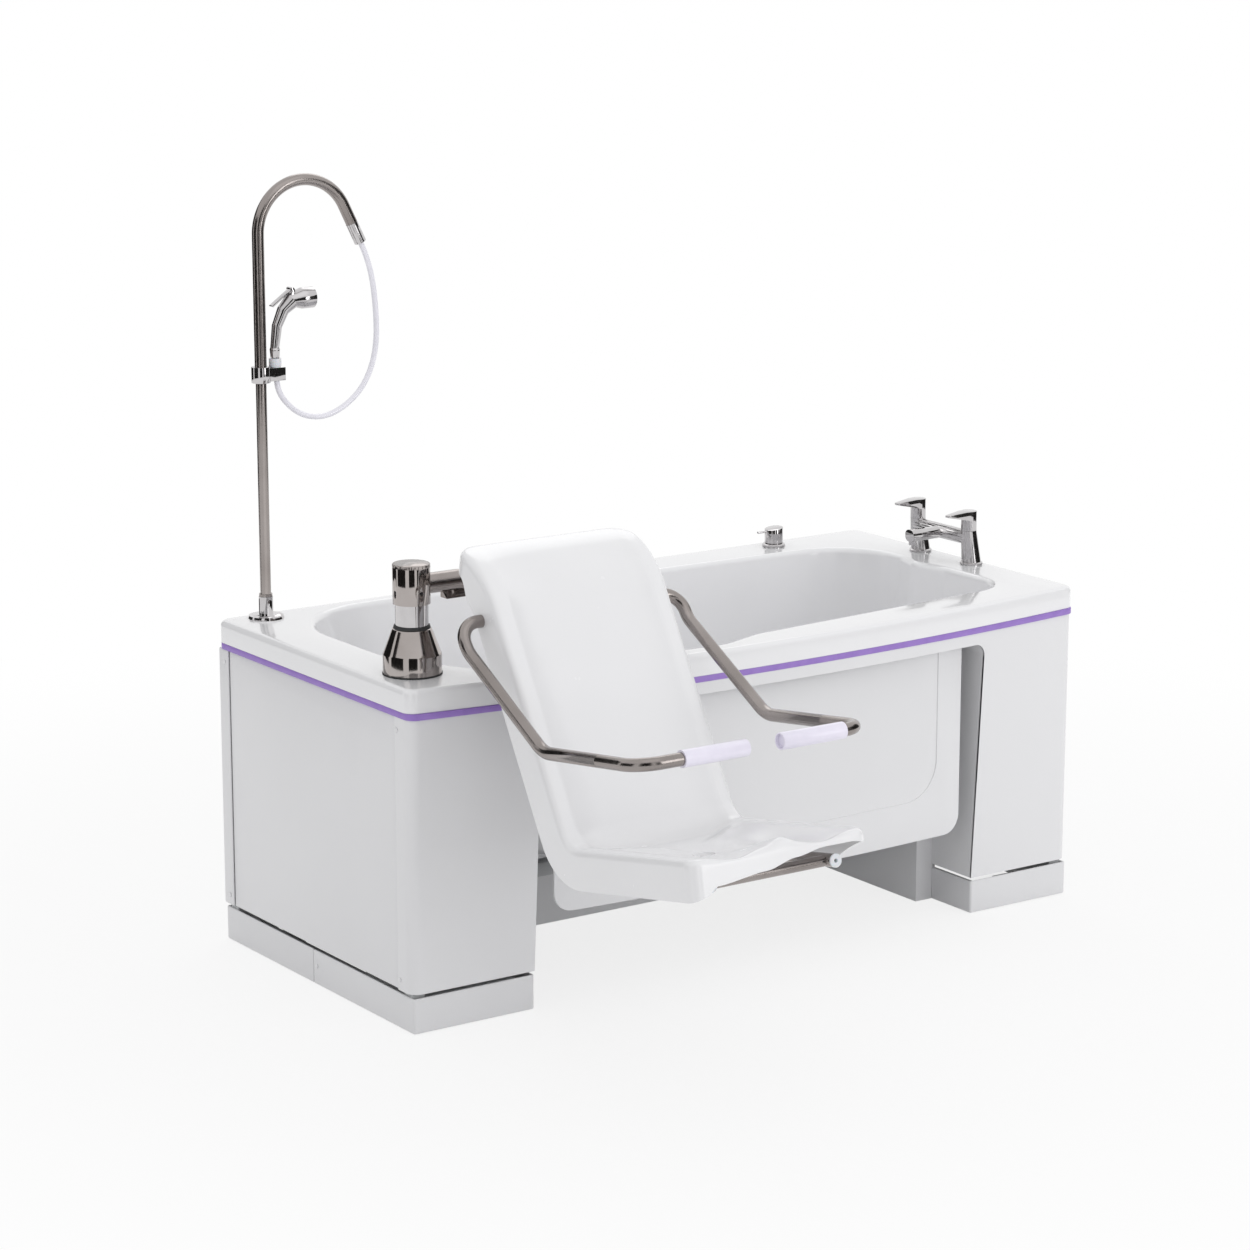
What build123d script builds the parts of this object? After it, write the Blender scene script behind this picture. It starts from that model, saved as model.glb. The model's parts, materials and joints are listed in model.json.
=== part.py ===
from build123d import *
import math
import os

os.makedirs("parts", exist_ok=True)

# Assisted bath with a powered column lift and a swivelling transfer seat.
# Frame: origin on the floor under the middle of the bath, +X towards the taps,
# -Y towards the side where the bather sits down, +Z up. Millimetres.

# Bath body
bath_length = 1700.0
bath_width = 775.0
bath_height = 700.0
front_bow = 60.0  # how far the front rim swells out at mid length
rim_corner = 26.0
rim_edge = 12.0
shell_wall = 6.0
skirt_depth = 48.0  # rim skirt above the coloured strip
strip_height = 13.0
basin_depth = 438.0
basin_lip = 14.0
hole_gap = 1.0  # clearance of a fixed piece in its hole

# Base panels
panel_wall = 5.0
panel_inset = 2.0
panel_recess = 3.0
seam_gap = 2.0
kick_height = 74.0
kick_gap = 8.0  # shadow gap between kick plate and cover
kick_floor_gap = 2.0
sheet_bend = 6.0
cover_reach = 62.0
rear_kick_reach = 300.0
left_pedestal = 288.0  # end of the bath to the knee opening
right_pedestal = 277.0
opening_drop = 26.0  # strip to the top of the knee opening
opening_corner = 28.0
pedestal_setback = 3.5
pedestal_return = 135.0
band_depth = 40.0
return_step = 300.0  # above this the returns are cut back to clear the basin
return_lip = 8.0
front_seam_setback = 57.5
rear_seam_setback = 42.5
kick_seam = 12.0
apron_left_gap = 42.0
apron_right_gap = 47.0
apron_bottom = 197.0
apron_setback = 32.5
apron_sag = 21.0
apron_corner = 42.0
apron_pocket = 2.5
apron_border = 68.0
apron_lower_border = 90.0
alcove_left_gap = 17.0
alcove_right_gap = 43.0
alcove_rear_gap = 307.5

# Steel frame
beam = 30.0
frame_span = 229.0  # outer to inner posts of each end frame
rail_drop = 47.0  # basin floor to the underside of the rails
rail_setback = 187.5
post_inset = 8.0  # tall posts clear the rounded corners of the rim
cradle_spacing = 300.0
foot_height = 30.0
foot_radius = 14.0
foot_pad = 8.0
stem_radius = 6.0
floor_bolt_setback = 125.0
floor_bolt_inset = 62.5
floor_bolt_radius = 5.5
floor_plate_wall = 6.0
floor_plate_length = 60.0
floor_plate_width = 80.0
column_plate = 8.0

# Lift column
column_end_gap = 86.0
column_front_gap = 126.5
column_radius = 42.0
column_bore = 36.5
column_rise = 65.0  # column tube above the deck
lift_radius = 33.0
lift_bore = 29.0
lift_foot_gap = 42.0  # lift tube above the foot of the column at its lowest
spigot_radius = 24.0
spigot_length = 67.0
bush_length = 40.0
bell_radius = 58.5
bell_top_radius = 38.5
bell_wall = 2.5
bell_skirt = 42.0
bell_height = 92.0
gasket_height = 3.0
gasket_wall = 4.0
seal_height = 6.0
seal_foot_wall = 4.0
seal_lip_wall = 2.5
actuator_radius = 24.0
actuator_length = 452.0
actuator_base = 20.0
actuator_rod_radius = 10.0
rod_gap = 5.0
lift_plug = 41.0
running_gap = 0.05
face_gap = 0.3

# Seat arm and collar
arm_rise = 176.0  # deck to the middle of the support arm
collar_radius = 37.5
collar_above = 38.0
collar_below = 35.0
cap_height = 7.0
cap_edge = 1.5
arm_radius = 20.5
arm_wall = 3.0
arm_reach = 142.0
arm_bend = 46.0
arm_seat = 5.0  # arm end to the spigot
arm_end_reach = 199.0
set_screw_radius = 4.0
set_screw_length = 4.5
set_screw_drop = 10.0
set_screw_angles = (-90, -180)

# Seat
seat_side_gap = 29.0  # column axis to the side of the seat
seat_width = 404.0
skirt = 77.0  # depth of the seat's side skirts
seat_wall = 5.0
scoop_depth = 20.0
scoop_margin = 34.0
seat_edge = 12.0
back_radius = 177.0
front_radius = 50.0
drain_radius = 12.0
drain_share = 0.2
front_skirt = 34.0  # skirt left on the middle of the front edge
tube_radius = 12.7
tube_wall = 1.5
frame_depth = 54.0  # seat surface to the centre of the frame tubes
frame_left_inset = 54.0
frame_right_inset = 67.0
frame_bend = 103.0
frame_setback = 22.0
frame_top_setback = 20.0
cross_radius = 11.0
plate_wall = 8.0
plate_below = 132.0
plate_above = 13.0
plate_side = 9.0
gusset_near = 74.0
gusset_far = 124.0
gusset_half_width = 12.0
gusset_drop = 34.0
gusset_grip = 3.5
plug_radius = 13.0
plug_rim = 3.0
plug_depth = 10.0
plug_hole = 4.0

# Armrests
pivot_reach = 209.0
pivot_drop = 36.0
arm_side_gap = 55.0  # side of the seat to the arm tubes
arm_offset = 3.0
sleeve_wall = 4.0
arm_bends = [42.0, 60.0, 70.0]
grip_bend = 50.0
joint_reach = 689.0
arm_spigot_length = 40.0
grip_radius = 16.5
grip_length = 145.0
grip_starts = (95.0, 52.0)  # arm tube to the sleeve, left and right
grip_plug = 13.0  # closed end of the sleeve past the tube

# Shower riser
riser_end_gap = 92.0
riser_rear_gap = 49.5
riser_radius = 11.25
riser_upper_radius = 12.5
riser_upper_wall = 1.2
riser_tail = 40.0
riser_rise = 730.0
riser_tail_radius = 14.0
riser_tail_length = 22.0
flange_radius = 38.0
flange_height = 6.0
flange_edge = 1.5
riser_sleeve_radius = 15.0
riser_sleeve_rise = 46.0
nut_height = 10.0
clamp_rise = 498.0
clamp_length = 33.0
clamp_radius = 20.0
clamp_socket = 25.0
ear_drop = 4.0
ear_height = 27.0
ear_inner = 8.0
ear_outer = 12.0
ear_reach = 52.0
arch_rise = 803.6
arch_radius = 107.6
arch_sweep = 153.7
arch_tail = 40.8
fitting_length = 46.0
fitting_radius = 13.0
fitting_bore = 4.0
hose_radius = 6.0
hose_wall = 2.0
holder_reach = 34.0
holder_radius = 13.0
holder_bore = 7.0
holder_height = 19.0
holder_taper = 1.5
handset_gap = 1.0
handset_nut = 21.0
handset_nut_radius = 11.0
handle_radius = 9.5
head_radius = 22.0
trigger_width = 14.0
trigger_wall = 4.0
trigger_pin = 2.0
lug_wall = 3.0
lug_height = 12.0

# Bath mixer
tap_end_gap = 38.0
tap_y = 12.0
tap_spacing = 180.0
tap_tail_radius = 10.0
tap_tail_length = 55.0
tap_foot_radius = 25.5
tap_foot_height = 6.0
tap_foot_edge = 2.0
pillar_radius = 22.0
pillar_top_radius = 17.5
pillar_lean = 9.0
bridge_rise = 61.0
bridge_radius = 16.5
bridge_drop = 17.0  # top of the pillars to the bridge
boss_radius = 12.0
boss_length = 29.0
spout_reach = 106.0
spout_width = 30.0
spout_height = 27.0
spout_corner = 12.0
nozzle_radius = 10.0
nozzle_wall = 3.0
nozzle_drop = 8.0
lever_neck = 26.0
lever_height = 18.0
lever_reach = 75.0
lever_tip_radius = 8.0
lever_blade = 8.0
lever_tip_wall = 3.0
spindle_radius = 6.0
spindle_length = 16.0

# Waste
knob_end_gap = 284.0
knob_rear_gap = 55.5
knob_base_radius = 26.5
knob_base_height = 7.0
knob_radius = 21.0
knob_height = 45.0
knob_slope = 6.0
knob_stem_radius = 6.0
knob_stem_length = 40.0
pin_radius = 2.5
pin_length = 46.0
pin_drop = 9.0
waste_end_gap = 272.0
waste_offset = 32.0  # front of the taps' middle line
waste_flange_radius = 35.0
waste_flange_wall = 2.5
waste_body_radius = 24.0
waste_bore = 18.0
waste_seat = 22.0
waste_body_length = 36.0
plug_stem = 4.0
plug_crown = 2.0
guide_height = 10.0
guide_spoke = 4.0
guide_wall = 3.0
trap_depth = 144.0
trap_outlet_rise = 32.0
waste_outlet_radius = 20.0
outlet_bore = 17.5
outlet_end_gap = 90.0

# Fastener caps
cap_radius = 5.0
cap_thickness = 2.0
cap_inset = 7.0
lower_cap_rise = 22.0
upper_cap_drop = 26.0
kick_cap_drop = 33.0

# Places in the bath body
right = bath_length / 2
left = -right
rear = bath_width / 2
front = -rear
deck_underside = bath_height - shell_wall
skirt_bottom = bath_height - skirt_depth
strip_bottom = skirt_bottom - strip_height
panel_bottom = kick_height + kick_gap
basin_floor = bath_height - basin_depth
opening_left = left + left_pedestal
opening_right = right - right_pedestal
opening_top = strip_bottom - opening_drop
pedestal_front = rear - pedestal_setback
return_back = return_lip - pedestal_front
alcove_front = pedestal_return - pedestal_front
alcove_left = opening_left + alcove_left_gap
alcove_right = opening_right - alcove_right_gap
alcove_back = rear - alcove_rear_gap
apron_left = opening_left + apron_left_gap
apron_right = opening_right - apron_right_gap
apron_front = rear + front_bow - apron_setback
seam_front = front + front_seam_setback
seam_rear = rear - rear_seam_setback
frame_outer = right - panel_inset - panel_recess - panel_wall - beam / 2
frame_inner = frame_outer - frame_span
frame_half_width = rear - panel_inset - panel_recess - panel_wall - beam / 2
rail_underside = basin_floor - rail_drop
rail_y = rear - rail_setback
floor_bolt_x = frame_outer - floor_bolt_setback
floor_bolt_y = frame_half_width - floor_bolt_inset

# Places in the lift and the seat
column_x = left + column_end_gap
column_y = front + column_front_gap
column_low = foot_height + beam + column_plate
column_top = bath_height + column_rise
arm_height = bath_height + arm_rise
lift_shoulder = arm_height - collar_below
spigot_top = lift_shoulder + spigot_length
collar_top = arm_height + collar_above
arm_turn_x = column_x + arm_reach
arm_end_y = column_y - arm_end_reach
seat_left = column_x + seat_side_gap
seat_right = seat_left + seat_width
seat_middle = (seat_left + seat_right) / 2
frame_left = seat_left + frame_left_inset
frame_right = seat_right - frame_right_inset
pivot_y = column_y - pivot_reach
pivot_z = arm_height - pivot_drop
arm_middle = seat_middle + arm_offset
arm_spread = seat_width / 2 + arm_side_gap
joint_y = column_y - joint_reach

# Places on the deck
riser_x = left + riser_end_gap
riser_y = rear - riser_rear_gap
riser_foot = bath_height - riser_tail
riser_top = bath_height + riser_rise
riser_sleeve_top = bath_height + riser_sleeve_rise
clamp_low = bath_height + clamp_rise
clamp_high = clamp_low + clamp_length
upper_foot = clamp_high - clamp_socket
ear_high = clamp_high - ear_drop
ear_low = ear_high - ear_height
holder_x = riser_x + holder_reach
holder_top = ear_high + holder_height
handset_foot = holder_top + handset_gap
handset_nut_top = handset_foot + handset_nut
tap_x = right - tap_end_gap
lever_x = tap_x - pillar_lean
bridge_height = bath_height + bridge_rise
pillar_top = bridge_height + bridge_drop
lever_shoulder = pillar_top + lever_neck
lever_top = lever_shoulder + lever_height
lever_tip = tap_x - lever_reach
boss_x = tap_x - boss_length
spout_tip = tap_x - spout_reach
knob_x = right - knob_end_gap
knob_y = rear - knob_rear_gap
knob_top = bath_height + knob_height
waste_x = right - waste_end_gap
waste_y = tap_y - waste_offset
waste_foot = basin_floor - waste_body_length
trap_foot = basin_floor - trap_depth
trap_outlet_z = trap_foot + trap_outlet_rise
outlet_end = right - outlet_end_gap


def bath_plan(z, inset=0.0, corner=rim_corner):
    """Plan of the rim: straight ends and back, bowed front."""
    x = right - inset
    y = rear - inset
    with BuildSketch(Plane.XY.offset(z)) as plan:
        with BuildLine():
            ThreePointArc((-x, -y), (0, -y - front_bow), (x, -y))
            Polyline((x, -y), (x, y), (-x, y), (-x, -y))
        make_face()
        fillet(plan.vertices(), corner - inset)
    return plan.sketch


# Basin outline at the deck and on the floor: wide at the head, stepped in for
# the legs, with a bump between two lobes where the taps stand.
basin_top = [
    (left + 122, rear - 42.5, 220), (-110, rear - 42.5, 110), (0, rear - 111.5, 110),
    (right - 114, rear - 137.5, 150), (right - 114, tap_y + 70, 60), (right - 134, tap_y, 60),
    (right - 114, tap_y - 90, 60), (right - 114, front + 95.5, 95), (0, front + 29.5, 150),
    (-110, front - 10.5, 110), (left + 250, front + 21.5, 150), (left + 122, front + 277.5, 200),
]
basin_bottom = [
    (left + 380, rear - 197.5, 120), (-110, rear - 189.5, 60), (0, rear - 211.5, 60),
    (right - 210, rear - 217.5, 70), (right - 210, tap_y + 63, 60), (right - 220, tap_y, 60),
    (right - 210, tap_y - 92, 60), (right - 210, front + 182.5, 90), (0, front + 161.5, 60),
    (-110, front + 137.5, 60), (left + 420, front + 152.5, 120), (left + 360, front + 307.5, 80),
]


def fitting_radii(spots, radii):
    """Corner radii of a closed outline, eased where two arcs meet on a run."""
    runs = [Vector(*spots[(i + 1) % len(spots)]) - Vector(*spots[i]) for i in range(len(spots))]
    slopes = [math.tan(math.radians(runs[i - 1].get_angle(runs[i]) / 2)) for i in range(len(runs))]
    eased = list(radii)
    for i, run in enumerate(runs):
        after = (i + 1) % len(runs)
        needed = radii[i] * slopes[i] + radii[after] * slopes[after]
        ease = min(1.0, 0.99 * run.length / needed)
        eased[i] = min(eased[i], radii[i] * ease)
        eased[after] = min(eased[after], radii[after] * ease)
    return eased


def basin_plan(z, share, grow=0.0):
    """Basin outline part way down, share 0 at the deck and 1 at the floor."""
    spots = [
        (a[0] + (b[0] - a[0]) * share, a[1] + (b[1] - a[1]) * share)
        for a, b in zip(basin_top, basin_bottom)
    ]
    radii = [a[2] + (b[2] - a[2]) * share for a, b in zip(basin_top, basin_bottom)]
    grown = []
    for i, spot in enumerate(spots):
        before = Vector(*spot) - Vector(*spots[i - 1])
        after = Vector(*spots[(i + 1) % len(spots)]) - Vector(*spot)
        before = before.normalized()
        after = after.normalized()
        turn = before.X * after.Y - before.Y * after.X
        out = Vector(-before.Y - after.Y, before.X + after.X)
        out = out * (grow / (1 + before.dot(after)))
        grown.append((spot[0] + out.X, spot[1] + out.Y))
        radii[i] += grow if turn < 0 else -grow
    radii = fitting_radii(grown, radii)
    with BuildSketch(Plane.XY.offset(z)) as plan:
        with BuildLine():
            FilletPolyline(*grown, radius=radii, close=True)
        make_face()
    return plan.sketch


def basin_sections(grow, drop):
    """Sections of the basin from the rolled lip down to its floor."""
    levels = [
        (0.0, 0.0, basin_lip), (0.29 * basin_lip, 0.0, 0.45 * basin_lip), (basin_lip, 0.0, 0.0),
        (basin_depth - 288.0, 0.18, 0.0), (basin_depth - 78.0, 0.62, 0.0),
        (basin_depth - 18.0, 0.86, 0.0), (basin_depth, 1.0, -12.0),
    ]
    return [
        basin_plan(bath_height - depth - drop * (depth > 0), share, lip + grow)
        for depth, share, lip in levels
    ]


# Tub shell: one moulding of deck, rolled lip, basin and rim skirt
with BuildPart() as tub_shell:
    extrude(bath_plan(skirt_bottom), amount=skirt_depth)
    top_edges = tub_shell.faces().sort_by(Axis.Z)[-1].edges()
    fillet(top_edges, rim_edge)
    extrude(bath_plan(skirt_bottom, shell_wall), amount=skirt_depth - shell_wall, mode=Mode.SUBTRACT)
    loft(basin_sections(shell_wall, shell_wall), ruled=True)
    loft(basin_sections(0.0, 0.0), ruled=True, mode=Mode.SUBTRACT)
    with Locations((column_x, column_y, bath_height)):
        Hole(column_radius + hole_gap, depth=2 * rim_edge)
    with Locations((riser_x, riser_y, bath_height)):
        Hole(riser_tail_radius + hole_gap, depth=2 * rim_edge)
    with Locations((knob_x, knob_y, bath_height)):
        Hole(knob_stem_radius + hole_gap, depth=2 * rim_edge)
    with Locations((tap_x, tap_y, bath_height)):
        with GridLocations(0, tap_spacing, 1, 2):
            Hole(tap_tail_radius + hole_gap, depth=2 * rim_edge)
    with Locations((waste_x, waste_y, basin_floor)):
        Hole(waste_body_radius + hole_gap, depth=4 * shell_wall)
tub_shell.part.label = "tub_shell"
export_step(tub_shell.part, "parts/tub_shell.step")

# Coloured strip: a band clipped in the groove under the rim skirt
with BuildPart() as rim_strip:
    extrude(bath_plan(strip_bottom, 0.5), amount=strip_height)
    extrude(bath_plan(strip_bottom, shell_wall), amount=strip_height, mode=Mode.SUBTRACT)
rim_strip.part.label = "rim_strip"
export_step(rim_strip.part, "parts/rim_strip.step")


def front_slab(inset, back):
    """Front of the base: bowed under the strip, nearly flat at the kick plate."""
    x = right - panel_inset - inset
    sections = []
    for z, y, bow in (
        (panel_bottom, pedestal_front - inset, 2.0),
        (strip_bottom, rear - panel_inset - inset, front_bow),
    ):
        with BuildSketch(Plane.XY.offset(z)) as section:
            with BuildLine():
                ThreePointArc((-x, -y), (0, -y - bow), (x, -y))
                Polyline((x, -y), (x, back), (-x, back), (-x, -y))
            make_face()
        sections.append(section.sketch)
    with BuildPart() as slab:
        loft(sections, ruled=True)
    return slab.part


def folded(spots, side, z, height):
    """Folded strip, square inside its bends and rounded outside."""
    with BuildPart() as strip:
        with BuildSketch(Plane.XY.offset(z)):
            with BuildLine():
                Polyline(*spots)
                offset(amount=panel_wall, side=side)
            make_face()
        extrude(amount=height)
        for x, y in spots[1:-1]:
            upright = strip.edges().filter_by(Axis.Z)
            fillet(upright.sort_by_distance((x, y, z + height / 2))[0], sheet_bend)
    return strip.part


def opening_block(grow, front, back):
    """Block through the front, outline of the knee opening grown by a wall."""
    with BuildPart() as block:
        with BuildSketch(Plane.XZ.offset(front)) as mouth:
            with BuildLine():
                FilletPolyline(
                    (opening_left - grow, -kick_height),
                    (opening_left - grow, opening_top + grow),
                    (opening_right + grow, opening_top + grow),
                    (opening_right + grow, -kick_height),
                    radius=opening_corner + grow,
                )
                Line((opening_right + grow, -kick_height), (opening_left - grow, -kick_height))
            make_face()
        extrude(amount=-(front + back))
    return block.part


# Front surround: one moulding of both pedestal fronts, the band under the
# strip and the return round the opening
opening_middle = (opening_left + opening_right) / 2
opening_width = opening_right - opening_left
behind_band = front_slab(band_depth, 0.0) & Pos(opening_middle, 0, bath_height / 2) * Box(
    opening_width - 2 * opening_corner, 2 * bath_width, bath_height
)
with BuildPart() as front_surround:
    add(front_slab(0.0, alcove_front))
    add(front_slab(panel_wall, 0.0), mode=Mode.SUBTRACT)
    with Locations((0, seam_front, panel_bottom)):
        Box(
            2 * bath_length, bath_width, 2 * bath_height,
            align=(Align.CENTER, Align.MIN, Align.CENTER), mode=Mode.SUBTRACT,
        )
    add(opening_block(panel_wall, bath_width, alcove_front) & front_slab(0.0, alcove_front))
    add(opening_block(0.0, bath_width, 0.0), mode=Mode.SUBTRACT)
    add(behind_band, mode=Mode.SUBTRACT)
    with Locations((opening_middle, return_back, return_step)):
        Box(
            opening_width + 4 * panel_wall, bath_width, bath_height,
            align=(Align.CENTER, Align.MIN, Align.MIN), mode=Mode.SUBTRACT,
        )
front_surround.part.label = "front_surround"
export_step(front_surround.part, "parts/front_surround.step")


def apron_slab(front, back):
    """Bowed slab behind the knee opening between two depths from its face."""
    reach = apron_right
    with BuildPart() as slab:
        with BuildSketch(Plane.XY):
            with BuildLine():
                near = ThreePointArc(
                    (-reach, -apron_front + apron_sag + front),
                    (0, -apron_front + front),
                    (reach, -apron_front + apron_sag + front),
                )
                far = ThreePointArc(
                    (-reach, -apron_front + apron_sag + back),
                    (0, -apron_front + back),
                    (reach, -apron_front + apron_sag + back),
                )
                Line(near @ 0, far @ 0)
                Line(near @ 1, far @ 1)
            make_face()
        extrude(amount=bath_height)
    return slab.part


def apron_window(left, right, low, high, corner):
    """Upright block with its two lower corners rounded, to trim the apron."""
    with BuildPart() as window:
        with BuildSketch(Plane.XZ.offset(bath_width)):
            with BuildLine():
                FilletPolyline(
                    (left, high), (left, low), (right, low), (right, high), radius=corner
                )
                Line((right, high), (left, high))
            make_face()
        extrude(amount=-bath_width)
    return window.part


# Front apron: bowed panel set back in the knee opening, with a shallow field
apron_skin = apron_slab(0.0, shell_wall) & apron_window(
    apron_left, apron_right, apron_bottom, opening_top, apron_corner
)
apron_field = apron_slab(-1.0, apron_pocket) & apron_window(
    apron_left + apron_border, apron_right - apron_border,
    apron_bottom + apron_lower_border, bath_height, 2 * apron_corner,
)
with BuildPart() as front_apron:
    add(apron_skin)
    add(apron_field, mode=Mode.SUBTRACT)
front_apron.part.label = "front_apron"
export_step(front_apron.part, "parts/front_apron.step")

# End panels: flat sheets set back a little between the corner covers
panel_height = strip_bottom - panel_bottom
panel_face = right - panel_inset - panel_recess
for side, name in ((-1, "left_end_panel"), (1, "right_end_panel")):
    with BuildPart() as end_panel:
        with Locations((side * panel_face, seam_front + seam_gap, panel_bottom)):
            Box(
                panel_wall, seam_rear - seam_front - 2 * seam_gap, panel_height,
                align=(Align.MAX if side > 0 else Align.MIN, Align.MIN, Align.MIN),
            )
    end_panel.part.label = name
    export_step(end_panel.part, f"parts/{name}.step")

# Rear corner covers: folded strips round the two back corners
cover_x = right - panel_inset
cover_y = rear - panel_inset
with BuildPart() as rear_corner_covers:
    for side in (-1, 1):
        add(folded(
            [
                (side * cover_x, seam_rear), (side * cover_x, cover_y),
                (side * (cover_x - cover_reach), cover_y),
            ],
            Side.LEFT if side > 0 else Side.RIGHT, panel_bottom, panel_height,
        ))
rear_corner_covers.part.label = "rear_corner_covers"
export_step(rear_corner_covers.part, "parts/rear_corner_covers.step")

# Back panel: plain sheet between the rear corner covers
back_half = right - panel_inset - cover_reach - seam_gap
with BuildPart() as back_panel:
    with Locations((0, rear - panel_inset - panel_recess, panel_bottom)):
        Box(
            2 * back_half, panel_wall, panel_height,
            align=(Align.CENTER, Align.MAX, Align.MIN),
        )
back_panel.part.label = "back_panel"
export_step(back_panel.part, "parts/back_panel.step")

# Alcove liner: folded sheet closing the space under the tub to both sides and
# to the back, with narrow front flanges beside the pedestals
liner_top = rail_underside - seam_gap
liner_left_flange = opening_left - panel_wall - seam_gap
liner_right_flange = opening_right + panel_wall + seam_gap
with BuildPart() as alcove_liner:
    with BuildSketch(Plane.XY.offset(kick_floor_gap)):
        with BuildLine():
            Polyline(
                (liner_left_flange, alcove_front),
                (alcove_left, alcove_front),
                (alcove_left, alcove_back),
                (alcove_right, alcove_back),
                (alcove_right, alcove_front),
                (liner_right_flange, alcove_front),
            )
            offset(amount=panel_wall, side=Side.LEFT)
        make_face()
    extrude(amount=liner_top - kick_floor_gap)
alcove_liner.part.label = "alcove_liner"
export_step(alcove_liner.part, "parts/alcove_liner.step")

# Front kick plates: folded round the pedestals from the knee opening to the
# seam half way along each end
kick_x = right - panel_inset - panel_recess
kick_y = rear - panel_inset - panel_recess
kick_rise = kick_height - kick_floor_gap
for side, inner, name in (
    (-1, opening_left, "left_front_kick"), (1, opening_right, "right_front_kick"),
):
    with BuildPart() as front_kick:
        add(folded(
            [
                (inner, alcove_front), (inner, -pedestal_front),
                (side * kick_x, -pedestal_front), (side * kick_x, kick_seam),
            ],
            Side.RIGHT if side < 0 else Side.LEFT, kick_floor_gap, kick_rise,
        ))
    front_kick.part.label = name
    export_step(front_kick.part, f"parts/{name}.step")

# Rear kick plates: the same folded strip round the back corners
with BuildPart() as rear_kicks:
    for side in (-1, 1):
        add(folded(
            [
                (side * kick_x, kick_seam + seam_gap), (side * kick_x, kick_y),
                (side * (kick_x - rear_kick_reach), kick_y),
            ],
            Side.LEFT if side > 0 else Side.RIGHT, kick_floor_gap, kick_rise,
        ))
rear_kicks.part.label = "rear_kicks"
export_step(rear_kicks.part, "parts/rear_kicks.step")


# End frames: welded square tube, tall posts under the deck corners, short
# posts under the tub rails, and a ground ring that carries them
tall_post = deck_underside - foot_height
short_post = rail_underside - foot_height
for side, name in ((-1, "left_end_frame"), (1, "right_end_frame")):
    with BuildPart() as end_frame:
        for end in (-1, 1):
            with Locations((side * frame_outer, end * (frame_half_width - post_inset), foot_height)):
                Box(beam, beam, tall_post, align=(Align.CENTER, Align.CENTER, Align.MIN))
            with Locations((side * frame_inner, end * rail_y, foot_height)):
                Box(beam, beam, short_post, align=(Align.CENTER, Align.CENTER, Align.MIN))
            middle = side * (frame_outer + frame_inner) / 2
            with Locations((middle, end * frame_half_width, foot_height)):
                Box(
                    frame_outer - frame_inner, beam, beam,
                    align=(Align.CENTER, Align.CENTER, Align.MIN),
                )
        for x in (frame_outer, frame_inner):
            with Locations((side * x, 0, foot_height)):
                Box(
                    beam, 2 * frame_half_width + beam, beam,
                    align=(Align.CENTER, Align.CENTER, Align.MIN),
                )
        if side < 0:
            with Locations((-(frame_outer + frame_inner) / 2, column_y, foot_height + beam)):
                Box(
                    frame_outer - frame_inner, 2 * (frame_half_width + column_y), column_plate,
                    align=(Align.CENTER, Align.CENTER, Align.MIN),
                )
    end_frame.part.label = name
    export_step(end_frame.part, f"parts/{name}.step")

# Tub rails: ladder of two rails and two cradle beams under the basin
cradle_top = basin_floor - shell_wall
with BuildPart() as tub_rails:
    for y in (-rail_y, rail_y):
        with Locations((0, y, rail_underside)):
            Box(
                2 * frame_inner + beam, beam, beam,
                align=(Align.CENTER, Align.CENTER, Align.MIN),
            )
    for x in (-cradle_spacing, cradle_spacing):
        with Locations((x, 0, cradle_top)):
            Box(
                beam, 2 * rail_y, beam,
                align=(Align.CENTER, Align.CENTER, Align.MAX),
            )
tub_rails.part.label = "tub_rails"
export_step(tub_rails.part, "parts/tub_rails.step")

# Levelling feet: threaded stem and round pad under each corner of both frames
with BuildPart() as levelling_feet:
    for x in (-frame_outer, -frame_inner, frame_inner, frame_outer):
        for y in (-frame_half_width, frame_half_width):
            with BuildSketch(Plane.XY):
                with Locations((x, y)):
                    Circle(foot_radius)
            extrude(amount=foot_pad)
            with BuildSketch(Plane.XY.offset(foot_pad)):
                with Locations((x, y)):
                    Circle(stem_radius)
            extrude(amount=foot_height - foot_pad)
levelling_feet.part.label = "levelling_feet"
export_step(levelling_feet.part, "parts/levelling_feet.step")

# Floor plates: angle brackets screwed to the floor, one by each frame corner
with BuildPart() as floor_plates:
    web_face = frame_half_width - beam / 2
    for x in (-floor_bolt_x, floor_bolt_x):
        for side in (-1, 1):
            with BuildSketch(Plane.XY):
                with Locations((x, side * (web_face - floor_plate_width / 2))):
                    Rectangle(floor_plate_length, floor_plate_width)
                with Locations((x, side * floor_bolt_y)):
                    Circle(floor_bolt_radius, mode=Mode.SUBTRACT)
            extrude(amount=floor_plate_wall)
            with Locations((x, side * web_face, 0)):
                Box(
                    floor_plate_length, floor_plate_wall, foot_height + beam,
                    align=(Align.CENTER, Align.MIN if side < 0 else Align.MAX, Align.MIN),
                )
floor_plates.part.label = "floor_plates"
export_step(floor_plates.part, "parts/floor_plates.step")


def turned(x, y, profile):
    """Solid of revolution about an upright axis, from (radius, height) points."""
    with BuildPart() as body:
        with BuildSketch(Plane.XZ.offset(-y)) as section:
            with BuildLine():
                Polyline([(x + r, z) for r, z in profile], close=True)
            make_face()
        revolve(axis=Axis((x, y, 0), (0, 0, 1)))
    return body.part


# Column tube: fixed outer tube of the lift, from the frame to above the deck
with BuildPart() as column_tube:
    add(turned(column_x, column_y, [
        (column_bore, column_low), (column_radius, column_low),
        (column_radius, column_top), (column_bore, column_top),
    ]))
column_tube.part.label = "column_tube"
export_step(column_tube.part, "parts/column_tube.step")

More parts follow.
